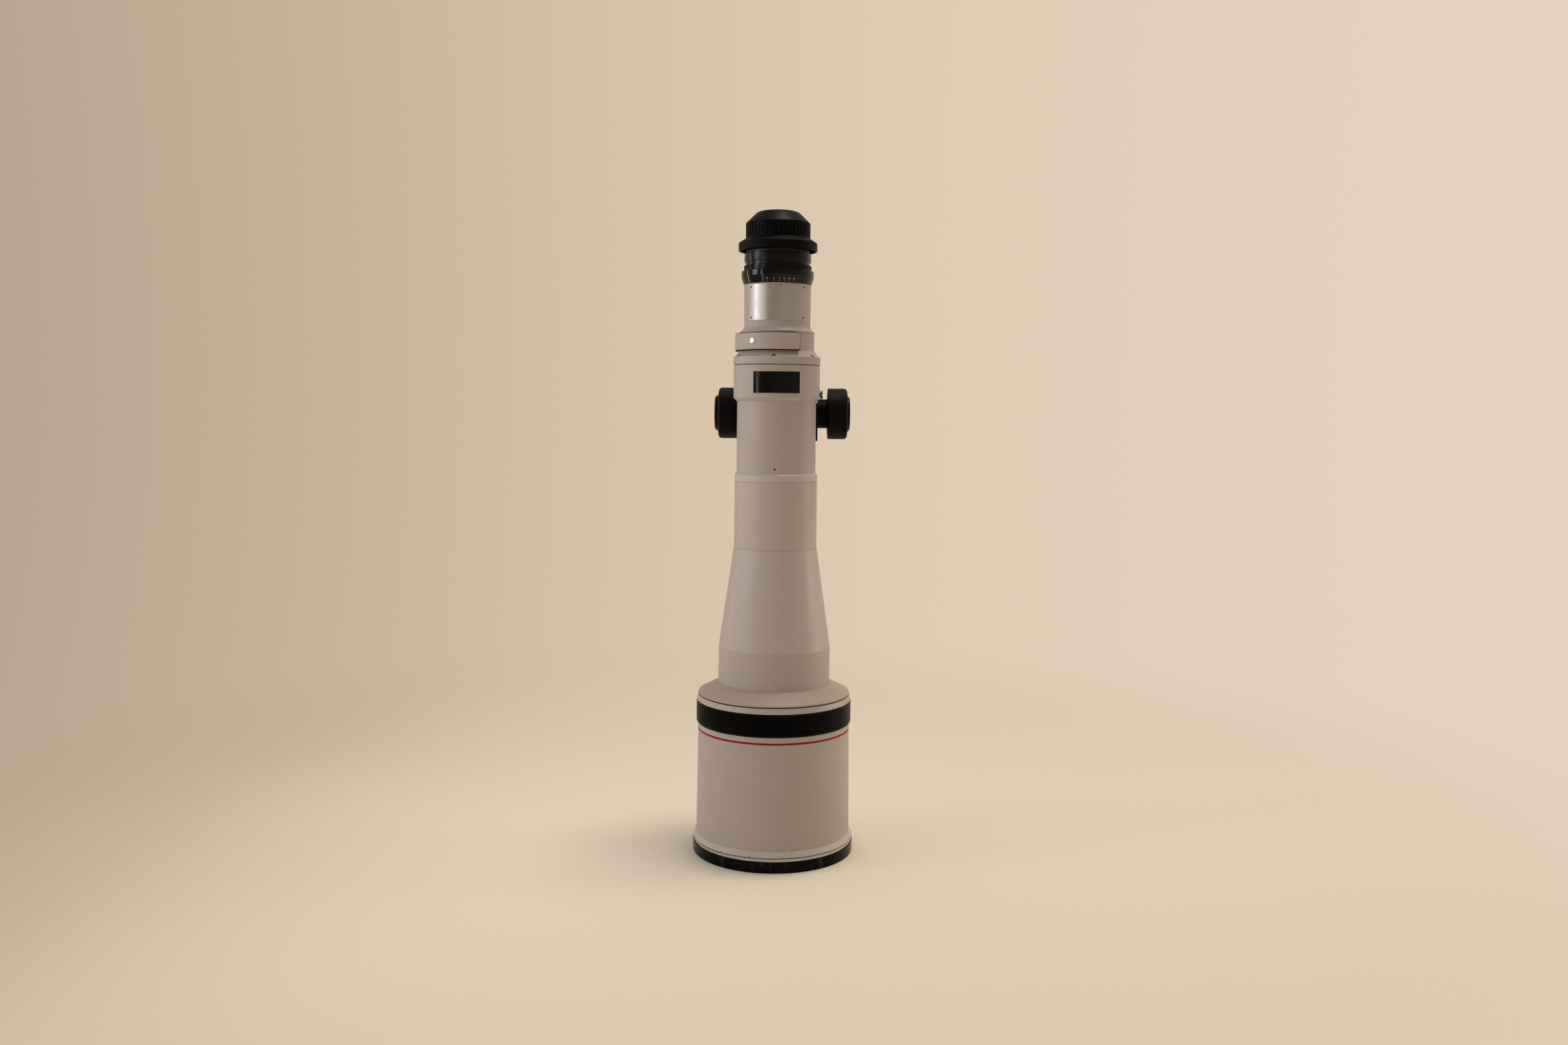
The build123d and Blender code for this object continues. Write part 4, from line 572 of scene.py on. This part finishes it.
def pieceName(node):
    words = node.split("_")
    return words[0] + "".join(word.capitalize() for word in words[1:])


def lathe(node, corners, matrix=None, look=None, sharp=32, **how):
    # a turned piece that stands for the node
    dress(turned(pieceName(node), corners, matrix, **how), node, look, sharp)


def easedCopy(node, width, look):
    # the CAD node's own shape with its sharp edges broken, as a deburred part has them
    bm = bmesh.new()
    bm.from_mesh(frame["nodes"][node].data)
    bmesh.ops.remove_doubles(bm, verts=bm.verts, dist=0.001 * mm)
    bmesh.ops.dissolve_limit(bm, angle_limit=math.radians(0.6), verts=bm.verts, edges=bm.edges)
    piece = meshPiece(pieceName(node), bm)
    bevel = piece.modifiers.new("brokenEdges", "BEVEL")
    bevel.width = width * mm
    bevel.segments = 2
    bevel.limit_method = "ANGLE"
    bevel.angle_limit = math.radians(32)
    dress(piece, node, look)


def atShaft():
    # turns lathe work made about Z to run along the focus shaft
    low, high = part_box("pinion_shaft")
    centre = (low + high) / 2
    return Matrix.Translation((0, centre.y, centre.z)) @ Matrix.Rotation(math.radians(90), 4, "Y")


def outwardAt(angle, height, radius):
    # a frame whose Z points outward from the lens's axis, at an angle from the front, and X to the cap
    outward = Matrix.Translation((radius * mm, 0, height * mm)) @ Matrix.Rotation(math.radians(90), 4, "Y")
    return Matrix.Rotation(math.radians(angle - 90), 4, "Z") @ outward


def joined(name, pieces):
    bm = bmesh.new()
    for piece in pieces:
        bm.from_mesh(piece.data)
        bpy.data.objects.remove(piece)
    return meshPiece(name, bm)


capShape = dict(wall=2.2, floor=2.5, edge=1.1, lip=0.35, recess=66, recessSlope=1,
                recessDepth=0.5)


def makeFrontCap():
    foot, head, radius = place("front_cap")
    s = SimpleNamespace(**capShape)
    inner, floorTop, recessTop = radius - s.wall, foot + s.floor, foot + s.recessDepth
    lathe("front_cap", [
        (0, recessTop), (s.recess, recessTop), (s.recess + s.recessSlope, foot),
        (radius, foot, s.edge), (radius, head, s.lip), (inner, head, 0.2), (inner, floorTop), (0, floorTop),
    ], segments=256)


rimShape = dict(spigot=78.5, bore=72.0, neck=73.9, edge=0.45, groove=0.7, grooveDepth=2.6,
                capGap=0.3)


def makeFrontRim():
    foot, neckTop, radius = place("front_rim")
    s = SimpleNamespace(**rimShape)
    capTop = place("front_cap")[1] + s.capGap
    beadFoot = place("bead_ring")[0]
    grooveFoot, grooveFloor = beadFoot - s.groove, radius - s.grooveDepth
    lathe("front_rim", [
        (s.bore, foot), (s.spigot, foot), (s.spigot, capTop), (radius, capTop, s.edge),
        (radius, grooveFoot, 0.25), (grooveFloor, grooveFoot, 0.1), (grooveFloor, beadFoot),
        (s.neck, beadFoot), (s.neck, neckTop), (s.bore, neckTop),
    ], segments=256)


beadShape = dict(bore=74.0, foot=80.5, crown=80.9, crownHeight=0.9, middle=79.75, middleHeight=3.0,
                 top=77.9)


def makeBead():
    foot, head, _ = place("bead_ring")
    s = SimpleNamespace(**beadShape)
    crown = (s.crown, foot + s.crownHeight)
    face = arcThrough(crown, (s.middle, foot + s.middleHeight), (s.top, head), 12)
    corners = [(s.bore, foot), (s.foot, foot, 0.1), (*crown, 0.4)] + face[1:]
    corners += [(s.top, head, 0.05), (s.bore, head)]
    # the bead's paler enamel is painted light, where its face catches the light from above
    lathe("bead_ring", corners, look="pale_enamel", segments=256)


housingShape = dict(bore=74.0, foot=77.7, upper=76.9, redSeat=76.1, bandSeat=75.3,
                    lipFoot=78.3, lipTop=77.2, redSpread=0.35, redDepth=0.06)


def makeHousing():
    s = SimpleNamespace(**housingShape)
    foot, head, _ = place("front_housing")
    redFoot, redHead, _ = place("red_ring")
    # the red paint spreads a little past its groove
    redFoot, redHead = redFoot - s.redSpread, redHead + s.redSpread
    bandFoot, bandHead, _ = place("grip_band")
    seat, upper, bandSeat = s.redSeat, s.upper, s.bandSeat
    lathe("front_housing", [
        (s.bore, foot), (s.foot, foot, 0.08), (upper, redFoot, 0.15), (seat, redFoot, 0),
        (seat, redHead, 0), (upper, redHead, 0.15), (upper, bandFoot, 0.25), (bandSeat, bandFoot, 0),
        (bandSeat, bandHead, 0), (s.lipFoot, bandHead, 0.35), (s.lipTop, head, 0.4), (s.bore, head),
    ], segments=256)
    face = upper - s.redDepth
    ring = [(seat, redFoot), (face, redFoot, 0.12), (face, redHead, 0.12), (seat, redHead)]
    lathe("red_ring", ring, segments=256)


bandShape = dict(columns=188, rows=10, edge=1.0, tip=0.62, land=0.88, gap=0.05)


def makeGripBand():
    # rubber band with rows of small blunt pyramids between two plain edges
    foot, head, radius = place("grip_band")
    s = SimpleNamespace(**bandShape)
    base = radius - s.tip
    seat = housingShape["bandSeat"] + s.gap
    pitch = (head - foot - 2 * s.edge) / s.rows
    outside = [(base, foot + s.edge + pitch * row, 0) for row in range(s.rows + 1)]
    corners = [(seat, foot), (base, foot, 0.35)] + outside + [(base, head, 0.35), (seat, head)]
    bm = turnedMesh(corners, bevel=0.15, segments=s.columns)
    low, high = (foot + s.edge) * mm, (head - s.edge) * mm
    cells = [f for f in bm.faces if low < f.calc_center_median().z < high
             and f.calc_center_median().xy.length > (base - 0.3) * mm]
    for face in cells:
        face.normal_update()
    if cells[0].normal.xy.dot(cells[0].calc_center_median().xy) < 0:
        bmesh.ops.reverse_faces(bm, faces=bm.faces)
    bmesh.ops.inset_individual(bm, faces=cells, thickness=s.land * mm, depth=s.tip * mm)
    dress(meshPiece("gripBand", bm), "grip_band", sharp=20)


tubeShape = dict(flange=65.8, wall=2.4, shoulderRim=1.4, lip=0.9, lipRise=0.7, seam=1.0,
                 shoulderBore=56.9, spigot=73.9, spigotWall=3.0, spigotDepth=8.0, coneSpigot=10.0,
                 sealProud=0.7, gap=0.02, fit=0.1, seamEdge=0.16, neck=42.2, neckRise=100.2,
                 neckStep=0.2, neckGroove=0.35, coneFloor=2)


def makeShoulderAndTubes():
    s = SimpleNamespace(**tubeShape)
    spigotFoot, top, radius = place("shoulder_ring")
    housingTop = spigotFoot + s.spigotDepth
    seamTop = housingTop + s.seam
    tubeFoot, coneFoot, _ = place("front_tube")
    tube, gap = s.shoulderBore - s.fit, s.gap
    inner, groove = s.spigot - s.spigotWall, radius - s.seam
    # the lip round the tube is raised, and the light from above catches it
    lip, lipTop = tube + s.lip, top + s.lipRise
    # the shoulder ring takes the darker enamel, painted shade that holds back the light falling on its
    # upturned face
    lathe("shoulder_ring", [
        (s.shoulderBore, housingTop), (inner, housingTop), (inner, spigotFoot), (s.spigot, spigotFoot),
        (s.spigot, housingTop, 0), (groove, housingTop, 0), (groove, seamTop, 0), (radius, seamTop, 0.3),
        (radius, seamTop + s.shoulderRim, 0.6), (lip, top, 0.2), (lip, lipTop, 0.45), (tube + gap, lipTop, 0),
    ], look="sallow_enamel", segments=224)
    # a black rubber ring lies in the seam as painted shade, and shows as a thin black line
    inside, outside = groove + gap, groove + s.sealProud
    corners = [(inside, housingTop + gap), (outside, housingTop + gap, 0.2), (outside, seamTop - gap, 0.2),
               (inside, seamTop - gap)]
    trim(turned("seamSeal", corners, segments=224), "band_rubber", "shoulder_ring")

    bore = tube - s.wall
    lathe("front_tube", [(bore, tubeFoot), (s.flange, tubeFoot), (s.flange, housingTop), (tube, housingTop),
                         (tube, coneFoot, s.seamEdge), (bore, coneFoot)])

    neckFoot, neckTop = coneFoot + s.neckRise, place("cone_tube")[1]
    spigot, spigotFoot = bore - s.fit, coneFoot - s.coneSpigot
    neck, floor, grooveTop = s.neck, s.neck - s.neckStep, neckFoot + s.neckGroove
    # the cone tube takes the lighter enamel, painted light where its sloping face catches the light from
    # above
    lathe("cone_tube", [
        (spigot, spigotFoot), (spigot, coneFoot), (tube, coneFoot, s.seamEdge),
        (neck + s.neckStep, neckFoot, 0), (floor, neckFoot, 0), (floor, grooveTop, 0), (neck, grooveTop, 0.1),
        (neck, neckTop, 0.6), (neck - s.wall, neckTop), (neck - s.wall, neckFoot),
        (spigot - s.wall, coneFoot + s.coneFloor), (spigot - s.wall, spigotFoot),
    ], look="clear_enamel", sharp=6)


jointShape = dict(bore=38.2, spigot=39.7, radius=42.3, step=40.45, chamfer=1.85, ledge=2.0,
                  tube=40.35, holeRadius=1.0, holeX=-1.2, holeRise=4.8, holeDepth=4)


def makeRearTube():
    s = SimpleNamespace(**jointShape)
    foot, head, _ = place("joint_ring")
    neckTop = place("cone_tube")[1]
    ledge = neckTop + s.ledge
    lathe("joint_ring", [
        (s.bore, foot), (s.spigot, foot), (s.spigot, neckTop), (s.radius, neckTop, 0.6),
        (s.radius, head - s.chamfer, 0.3), (s.step, head, 0.1), (s.step, ledge), (s.bore, ledge),
    ], look="pale_enamel")

    foot, top, _ = place("rear_tube")
    tube = turned("rearTube", [(s.bore, foot), (s.tube, foot), (s.tube, top), (s.bore, top)])
    angle = math.degrees(math.asin(s.holeX / s.tube))
    drill(tube, s.holeRadius, outwardAt(angle, head + s.holeRise, s.tube), s.holeDepth)
    dress(tube, "rear_tube")


collarShape = dict(bore=40.45, upperBore=41.5, chamfer=3.5, land=18.8, labelRise=8.2,
                   labelHeight=21.7, labelAngle=63.4, labelGap=0.1, labelGapAngle=0.15, seatDepth=0.35,
                   labelThickness=0.5)


def makeCollar():
    s = SimpleNamespace(**collarShape)
    foot, head, radius = place("collar")
    collar = turned("collar", [
        (s.bore, foot), (radius - s.chamfer, foot, 0.4), (radius, foot + s.chamfer, 0.8),
        (radius, head, 0.35), (s.upperBore, head), (s.upperBore, foot + s.land),
        (s.bore, foot + s.land),
    ])
    low = foot + s.labelRise
    high = low + s.labelHeight
    seat, outside = radius - s.seatDepth, radius + 2
    half = s.labelAngle / 2
    cutter = [(seat, low), (outside, low), (outside, high), (seat, high)]
    carve(collar, turned("labelSeat", cutter, bevel=0, segments=40, start=-half, sweep=2 * half))
    dress(collar, "collar")
    # the label lies in its seat with a little room all round
    face, low, high = seat + s.labelThickness, low + s.labelGap, high - s.labelGap
    half -= s.labelGapAngle
    corners = [(seat, low), (face, low, 0.2), (face, high, 0.2), (seat, high)]
    lathe("label_plate", corners, segments=48, start=-half, sweep=2 * half)


indexShape = dict(bore=38.0, rim=7.7, foot=0.4, footHeight=0.8, waist=40.3, waistHeight=3.6,
                  top=38.4, notches=6, notchTurn=-94, notchWidth=4.6, notchDeep=5.2, notchLift=0.05)


def makeIndexRing():
    s = SimpleNamespace(**indexShape)
    foot, head, radius = place("index_ring")
    rim = foot + s.rim
    flare = arcThrough((radius, rim), (s.waist, rim + s.waistHeight), (s.top, head), 10)
    corners = [(s.bore, foot), (radius - s.foot, foot, 0), (radius, foot + s.footHeight, 0.2),
               (radius, rim, 0.25)] + flare[1:] + [(s.top, head, 0.1), (s.bore, head)]
    ring = turned("indexRing", corners)
    reach, deep = s.notchWidth / 2, s.notchDeep
    cutter = [(0, -deep), (reach, -deep), (reach, 2), (0, 2)]
    for k in range(s.notches):
        # the upper half of a round cutter, run in along the rim
        spot = outwardAt(s.notchTurn + 90 + 360 * k / s.notches, rim + s.notchLift, radius)
        carve(ring, turned("notch", cutter, spot, bevel=0, segments=24, start=180, sweep=180))
    dress(ring, "index_ring")


coverShape = dict(inner=38.2, outer=43.3, crown=0.6, angle=132.0, turn=-34.0, brokenEdge=0.3,
                  buttonHole=2.96, buttonRadius=2.9, buttonRound=0.7, buttonProud=1.0,
                  buttonDepth=4.4, sealInset=0.7, sealDrop=0.9, sealRise=0.35, sealSide=0.85,
                  sealInner=39.6)


def makeDrawer():
    s = SimpleNamespace(**coverShape)
    foot, head, _ = place("drawer_cover")
    inner, outer, half, middle = s.inner, s.outer, s.angle / 2, (foot + head) / 2
    edge = outer - s.crown
    face = arcThrough((edge, foot), (outer, middle), (edge, head), 8)
    corners = [(inner, foot), (edge, foot, 0.4)] + face[1:] + [(edge, head, 0.4), (inner, head)]
    cover = turned("drawerCover", corners, segments=110, start=s.turn - half, sweep=s.angle)
    drill(cover, s.buttonHole, outwardAt(s.turn, middle, outer), 8)
    bevel = cover.modifiers.new("brokenEdges", "BEVEL")
    bevel.width, bevel.segments, bevel.limit_method = s.brokenEdge * mm, 2, "ANGLE"
    bevel.angle_limit = math.radians(50)
    dress(cover, "drawer_cover")
    # black strips run along the cover's lower and upper edge and down its right end: painted shadow that the
    # cover casts on the rings beside it
    rim = outer - s.sealInset
    strips = []
    for low, high, bore, start, sweep in (
            (foot - s.sealDrop, foot + 0.05, s.sealInner, s.turn - half, s.angle),
            (head - 0.05, head + s.sealRise, inner + 0.2, s.turn - half, s.angle),
            (foot - s.sealDrop, head, inner + 0.1, s.turn + half - 0.02, s.sealSide)):
        corners = [(bore, low), (rim, low), (rim, high), (bore, high)]
        segments = 2 if sweep < 2 else 96
        strips.append(turned("strip", corners, bevel=0.1, segments=segments, start=start, sweep=sweep))
    trim(joined("coverSeal", strips), "knob_rubber", "drawer_cover")
    reach, deep = s.buttonRadius, s.buttonDepth
    button = [(0, -deep), (reach, -deep), (reach, 0, s.buttonRound), (0, 0)]
    lathe("drawer_button", button, outwardAt(s.turn, middle, outer + s.buttonProud), segments=48)


plateShape = dict(bore=32.3, flare=38.2, bevel=0.8, rim=1.9, throat=35.0, throatDrop=3.2,
                  low=33.8, high=34.25, taper=42.0, flareHeight=8.0, plateGap=0.1,
                  plateThickness=0.4, plateAngle=107.2, plateRise=4.4, plateHeight=36.3,
                  indexAngle=4.4, indexDrop=1.6, indexSize=(2.0, 0.6, 0.12))
screwShape = dict(angle=49.7, fromFoot=3.0, fromTop=2.6, radius=1.0, rim=0.18, crown=0.32,
                  shank=0.6, depth=1.2, hole=0.7, slot=(3.0, 0.35, 0.3), turns=(25, 80, -40, 55))


def plateFace(rise):
    s = SimpleNamespace(**plateShape)
    return s.low + (s.high - s.low) * rise / s.taper


def block(name, matrix, size):
    # a small block of the given size, in the middle of the matrix's frame
    bm = bmesh.new()
    bmesh.ops.create_cube(bm, size=mm)
    return meshPiece(name, bm, matrix @ Matrix.Diagonal((*size, 1)))


def makePlateTube():
    s = SimpleNamespace(**plateShape)
    foot, head, _ = place("plate_tube")
    tubeFoot, rim = foot + s.flareHeight, foot + s.rim
    flare = arcThrough((s.flare, rim), (s.throat, tubeFoot - s.throatDrop), (s.low, tubeFoot), 10)
    lathe("plate_tube", [
        (s.bore, foot), (s.flare - s.bevel, foot, 0.1), (s.flare, foot + s.bevel, 0.3),
        (s.flare, rim, 0.3), *flare[1:], (s.low, tubeFoot, 0.5), (s.high, head, 0.3), (s.bore, head),
    ])

    rise, top = s.plateRise, s.plateRise + s.plateHeight
    low, high, thick = plateFace(rise) + s.plateGap, plateFace(top) + s.plateGap, s.plateThickness
    corners = [(low, tubeFoot + rise), (low + thick, tubeFoot + rise, 0.15),
               (high + thick, tubeFoot + top, 0.15), (high, tubeFoot + top)]
    half = s.plateAngle / 2
    plate = turned("namePlate", corners, segments=72, start=-half, sweep=2 * half)

    def onPlate(angle, height):
        return outwardAt(angle, tubeFoot + height, plateFace(height) + s.plateGap + thick)

    screws = []
    w = SimpleNamespace(**screwShape)
    places = [(height, angle) for height in (rise + w.fromFoot, top - w.fromTop)
              for angle in (-w.angle, w.angle)]
    reach, shank, deep = w.radius, w.shank, w.depth
    corners = [(0, -deep), (shank, -deep), (shank, 0.02), (reach, 0.02), (reach, w.rim, 0.1),
               (0.5 * reach, w.crown, 0.1), (0, w.crown + 0.02)]
    for (height, angle), slotTurn in zip(places, w.turns):
        spot = onPlate(angle, height)
        drill(plate, w.hole, spot, 1)
        spot = spot @ Matrix.Rotation(math.radians(slotTurn), 4, "Z")
        screw = turned("plateScrew", corners, spot, bevel=0.02, segments=24)
        slot = block("slot", spot @ Matrix.Translation((0, 0, w.crown * mm)), w.slot)
        screws.append(carve(screw, slot))
    dress(plate, "name_plate")
    dress(joined("plateScrews", screws), "plate_screws", look="dark_steel")
    mark = block("indexMark", onPlate(s.indexAngle, top - s.indexDrop), s.indexSize)
    trim(mark, "black_enamel", "name_plate")


apertureShape = dict(bore=33.6, low=35.0, band=5.7, edge=0.5, digits=1.9, digitRise=3.6,
                     digitLift=0.03, tick=0.28, tickLength=0.9, tickRise=1.3,
                     labels=(("5.6", -17), ("8", -6), ("11", 3), ("16", 11), ("22", 19), ("32", 27)))


def makeApertureRing():
    s = SimpleNamespace(**apertureShape)
    foot, head, radius = place("aperture_ring")
    bandFoot = head - s.band
    lathe("aperture_ring", [(s.bore, foot), (s.low, foot, 0.4), (radius, bandFoot, 0.5),
                            (radius, head, s.edge), (s.bore, head)], look="gloss_enamel")
    slope = (radius - s.low) / (bandFoot - foot)
    marks = []
    for label, angle in s.labels:
        text = bpy.data.curves.new("digits", "FONT")
        text.body = label
        text.size = s.digits * mm
        text.align_x, text.align_y = "CENTER", "CENTER"
        text.extrude = s.digitLift * mm
        holder = bpy.data.objects.new("digits", text)
        bpy.context.scene.collection.objects.link(holder)
        bpy.context.view_layer.update()
        mesh = bpy.data.meshes.new_from_object(holder)
        bpy.data.objects.remove(holder)
        bm = bmesh.new()
        bm.from_mesh(mesh)
        size = Matrix.Translation((0, (s.digitRise - s.tickRise) * mm, 0)) @ Matrix.Diagonal(
            (s.tick * mm, s.tickLength * mm, 2 * s.digitLift * mm, 1))
        bmesh.ops.create_cube(bm, size=1, matrix=size)
        for vert in bm.verts:
            # the figures are read with the lens lying down, so they stand on their heads here
            turn = math.radians(angle - 90) - vert.co.x / (s.low * mm)
            rise = s.digitRise * mm - vert.co.y
            reach = s.low * mm + slope * rise + vert.co.z
            vert.co = (reach * math.cos(turn), reach * math.sin(turn), foot * mm + rise)
        marks.append(meshPiece("digit", bm))
    dress(joined("apertureNumbers", marks), "aperture_ring", look="engraving")


lockShape = dict(bore=32.3, teeth=108, depth=0.5, edge=0.7, slope=0.2, valley=0.45)


def makeLockRing():
    s = SimpleNamespace(**lockShape)
    foot, head, radius = place("lock_ring")
    low, high = foot + s.edge, head - s.edge

    def knurl(reach, height, angle):
        if reach < radius - 0.9:
            return reach
        phase = (angle * s.teeth / (2 * math.pi)) % 1
        return reach - (s.depth if low < height < high and phase > s.valley else 0)

    lathe("lock_ring", [
        (s.bore, foot), (radius, foot, 0.2), (radius, low - 0.02, 0), (radius, low + s.slope, 0),
        (radius, foot + (head - foot) / 2, 0), (radius, high - s.slope, 0), (radius, high + 0.02, 0),
        (radius, head, 0.2), (s.bore, head),
    ], segments=s.teeth * 8, shape=knurl)


adapterShape = dict(throat=24.0, neck=33.0, neckHeight=2.9, edge=1.7, crown=0.25)


def makeAdapter():
    s = SimpleNamespace(**adapterShape)
    foot, head, radius = place("adapter_ring")
    ring = foot + s.neckHeight
    side = radius - s.crown
    wall = arcThrough((side, ring), (radius, (ring + head) / 2), (side, head), 8)
    lathe("adapter_ring", [
        (s.throat, foot), (s.neck, foot), (s.neck, ring, 0.1), (side, ring, s.edge), *wall[1:],
        (side, head, s.edge), (s.throat, head),
    ])


rearCapShape = dict(flange=40.3, skirt=2.0, plate=3.4, flangeHeight=8.1, cone=4.8, grip=33.1,
                    gripHeight=15.6, taper=22.0, top=17.7, wall=2.6, hub=29.0, hubOuter=32.5,
                    edge=0.8, round=1.5, flutes=46, fluteWidth=1.3, fluteDepth=0.6,
                    fluteHeight=13.4, fluteSlope=0.3)


def makeRearCap():
    s = SimpleNamespace(**rearCapShape)
    foot, head, _ = place("rear_cap")
    grip, flangeTop = s.grip, foot + s.flangeHeight
    gripFoot = flangeTop + s.cone
    gripTop = gripFoot + s.gripHeight
    fluteFoot = gripFoot + (s.gripHeight - s.fluteHeight) / 2
    fluteTop = fluteFoot + s.fluteHeight
    share = s.fluteWidth * s.flutes / (2 * math.pi * grip)

    def flutes(reach, height, angle):
        if reach < grip - 0.05 or not fluteFoot + 0.1 < height < fluteTop - 0.1:
            return reach
        return reach - (s.fluteDepth if (angle * s.flutes / (2 * math.pi)) % 1 < share else 0)

    wall, skirt, plateFoot, slope = s.wall, s.flange - s.skirt, flangeTop - s.plate, s.fluteSlope
    lathe("rear_cap", [
        (0, head - wall), (s.taper - wall, head - wall, s.round), (grip - wall, gripTop - wall, 1),
        (grip - wall, flangeTop), (s.hub, flangeTop), (s.hub, foot), (s.hubOuter, foot),
        (s.hubOuter, plateFoot), (skirt, plateFoot), (skirt, foot, 0.3), (s.flange, foot, 0.5),
        (s.flange, flangeTop, s.edge), (grip, gripFoot, 0.3), (grip, fluteFoot, 0),
        (grip, fluteFoot + slope, 0), (grip, fluteTop - slope, 0), (grip, fluteTop, 0), (grip, gripTop, 0.8),
        (s.taper, head - s.round, s.round), (s.top, head, 2.0), (0, head),
    ], segments=s.flutes * 14, shape=flutes)


knobShape = dict(radius=26.8, round=4.0, edge=1.2, dish=5.0, hub=12.0, bore=4.02, disc=18.7,
                 leftDisc=3.8, rightDisc=2.7, bevel=1.6, rim=5, rimSlope=0.6, rimDepth=0.4)


def makeKnobs():
    s = SimpleNamespace(**knobShape)
    leftLow, leftHigh = (corner.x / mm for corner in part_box("left_knob"))
    rightLow, rightHigh = (corner.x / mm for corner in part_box("right_knob"))
    rim = s.radius - s.round
    for node, inside, outside in (("left_knob", leftHigh, leftLow), ("right_knob", rightLow, rightHigh)):
        dish = inside + (s.dish if outside > inside else -s.dish)
        lathe(node, [
            (s.bore, outside), (s.bore, inside), (s.hub, inside, 0.4), (s.hub + 1, dish, 0.8),
            (rim - 1, dish, 0.8), (rim, inside, 0.6), (s.radius, inside, s.edge),
            (s.radius, outside, s.round),
        ], atShaft(), bevel=0.1, segments=160)
    discs = []
    disc, inner = s.disc, s.disc - s.rim
    for face, thick, way in ((leftLow, s.leftDisc, -1), (rightHigh, s.rightDisc, 1)):
        front, floor = face + way * thick, face + way * (thick - s.rimDepth)
        corners = [(0, face), (disc, face, 0.2), (disc, face + way * (thick - s.bevel), 0.4),
                   (disc - s.bevel, front, 0.5), (inner, front, 0.3), (inner - s.rimSlope, floor, 0.3),
                   (0, floor)]
        discs.append(turned("disc", corners, atShaft(), bevel=0.1, segments=128))
    dress(joined("knobDiscs", discs), "knob_discs")


for make in (makeFrontCap, makeFrontRim, makeBead, makeHousing, makeGripBand, makeShoulderAndTubes,
             makeRearTube, makeCollar, makeIndexRing, makeDrawer, makePlateTube, makeApertureRing,
             makeLockRing, makeAdapter, makeRearCap, makeKnobs):
    make()
    print(make.__name__, "done")

# mm that is broken off the edges of what keeps the CAD's own shape
easedNodes = dict(
    focus_saddle=0.9, tripod_foot=0.6, thread_bush=0.25, tension_ring=0.25, casting_screws=0.25,
    lock_screw=0.3, drawer_ring=0.2, drawer_tray=0.3, bayonet_flange=0.2, flange_screws=0.1,
    pinion_shaft=0.1, shaft_bushes=0.2, mount_base=0.15)
# the bayonet flange's darker steel is painted shade, as it lies under the rear cap's flange
darker = dict(bayonet_flange="dark_steel", lock_screw="worn_steel", tension_ring="rear_cap_plastic")
for node, width in easedNodes.items():
    easedCopy(node, width, darker.get(node))
print("castings eased")
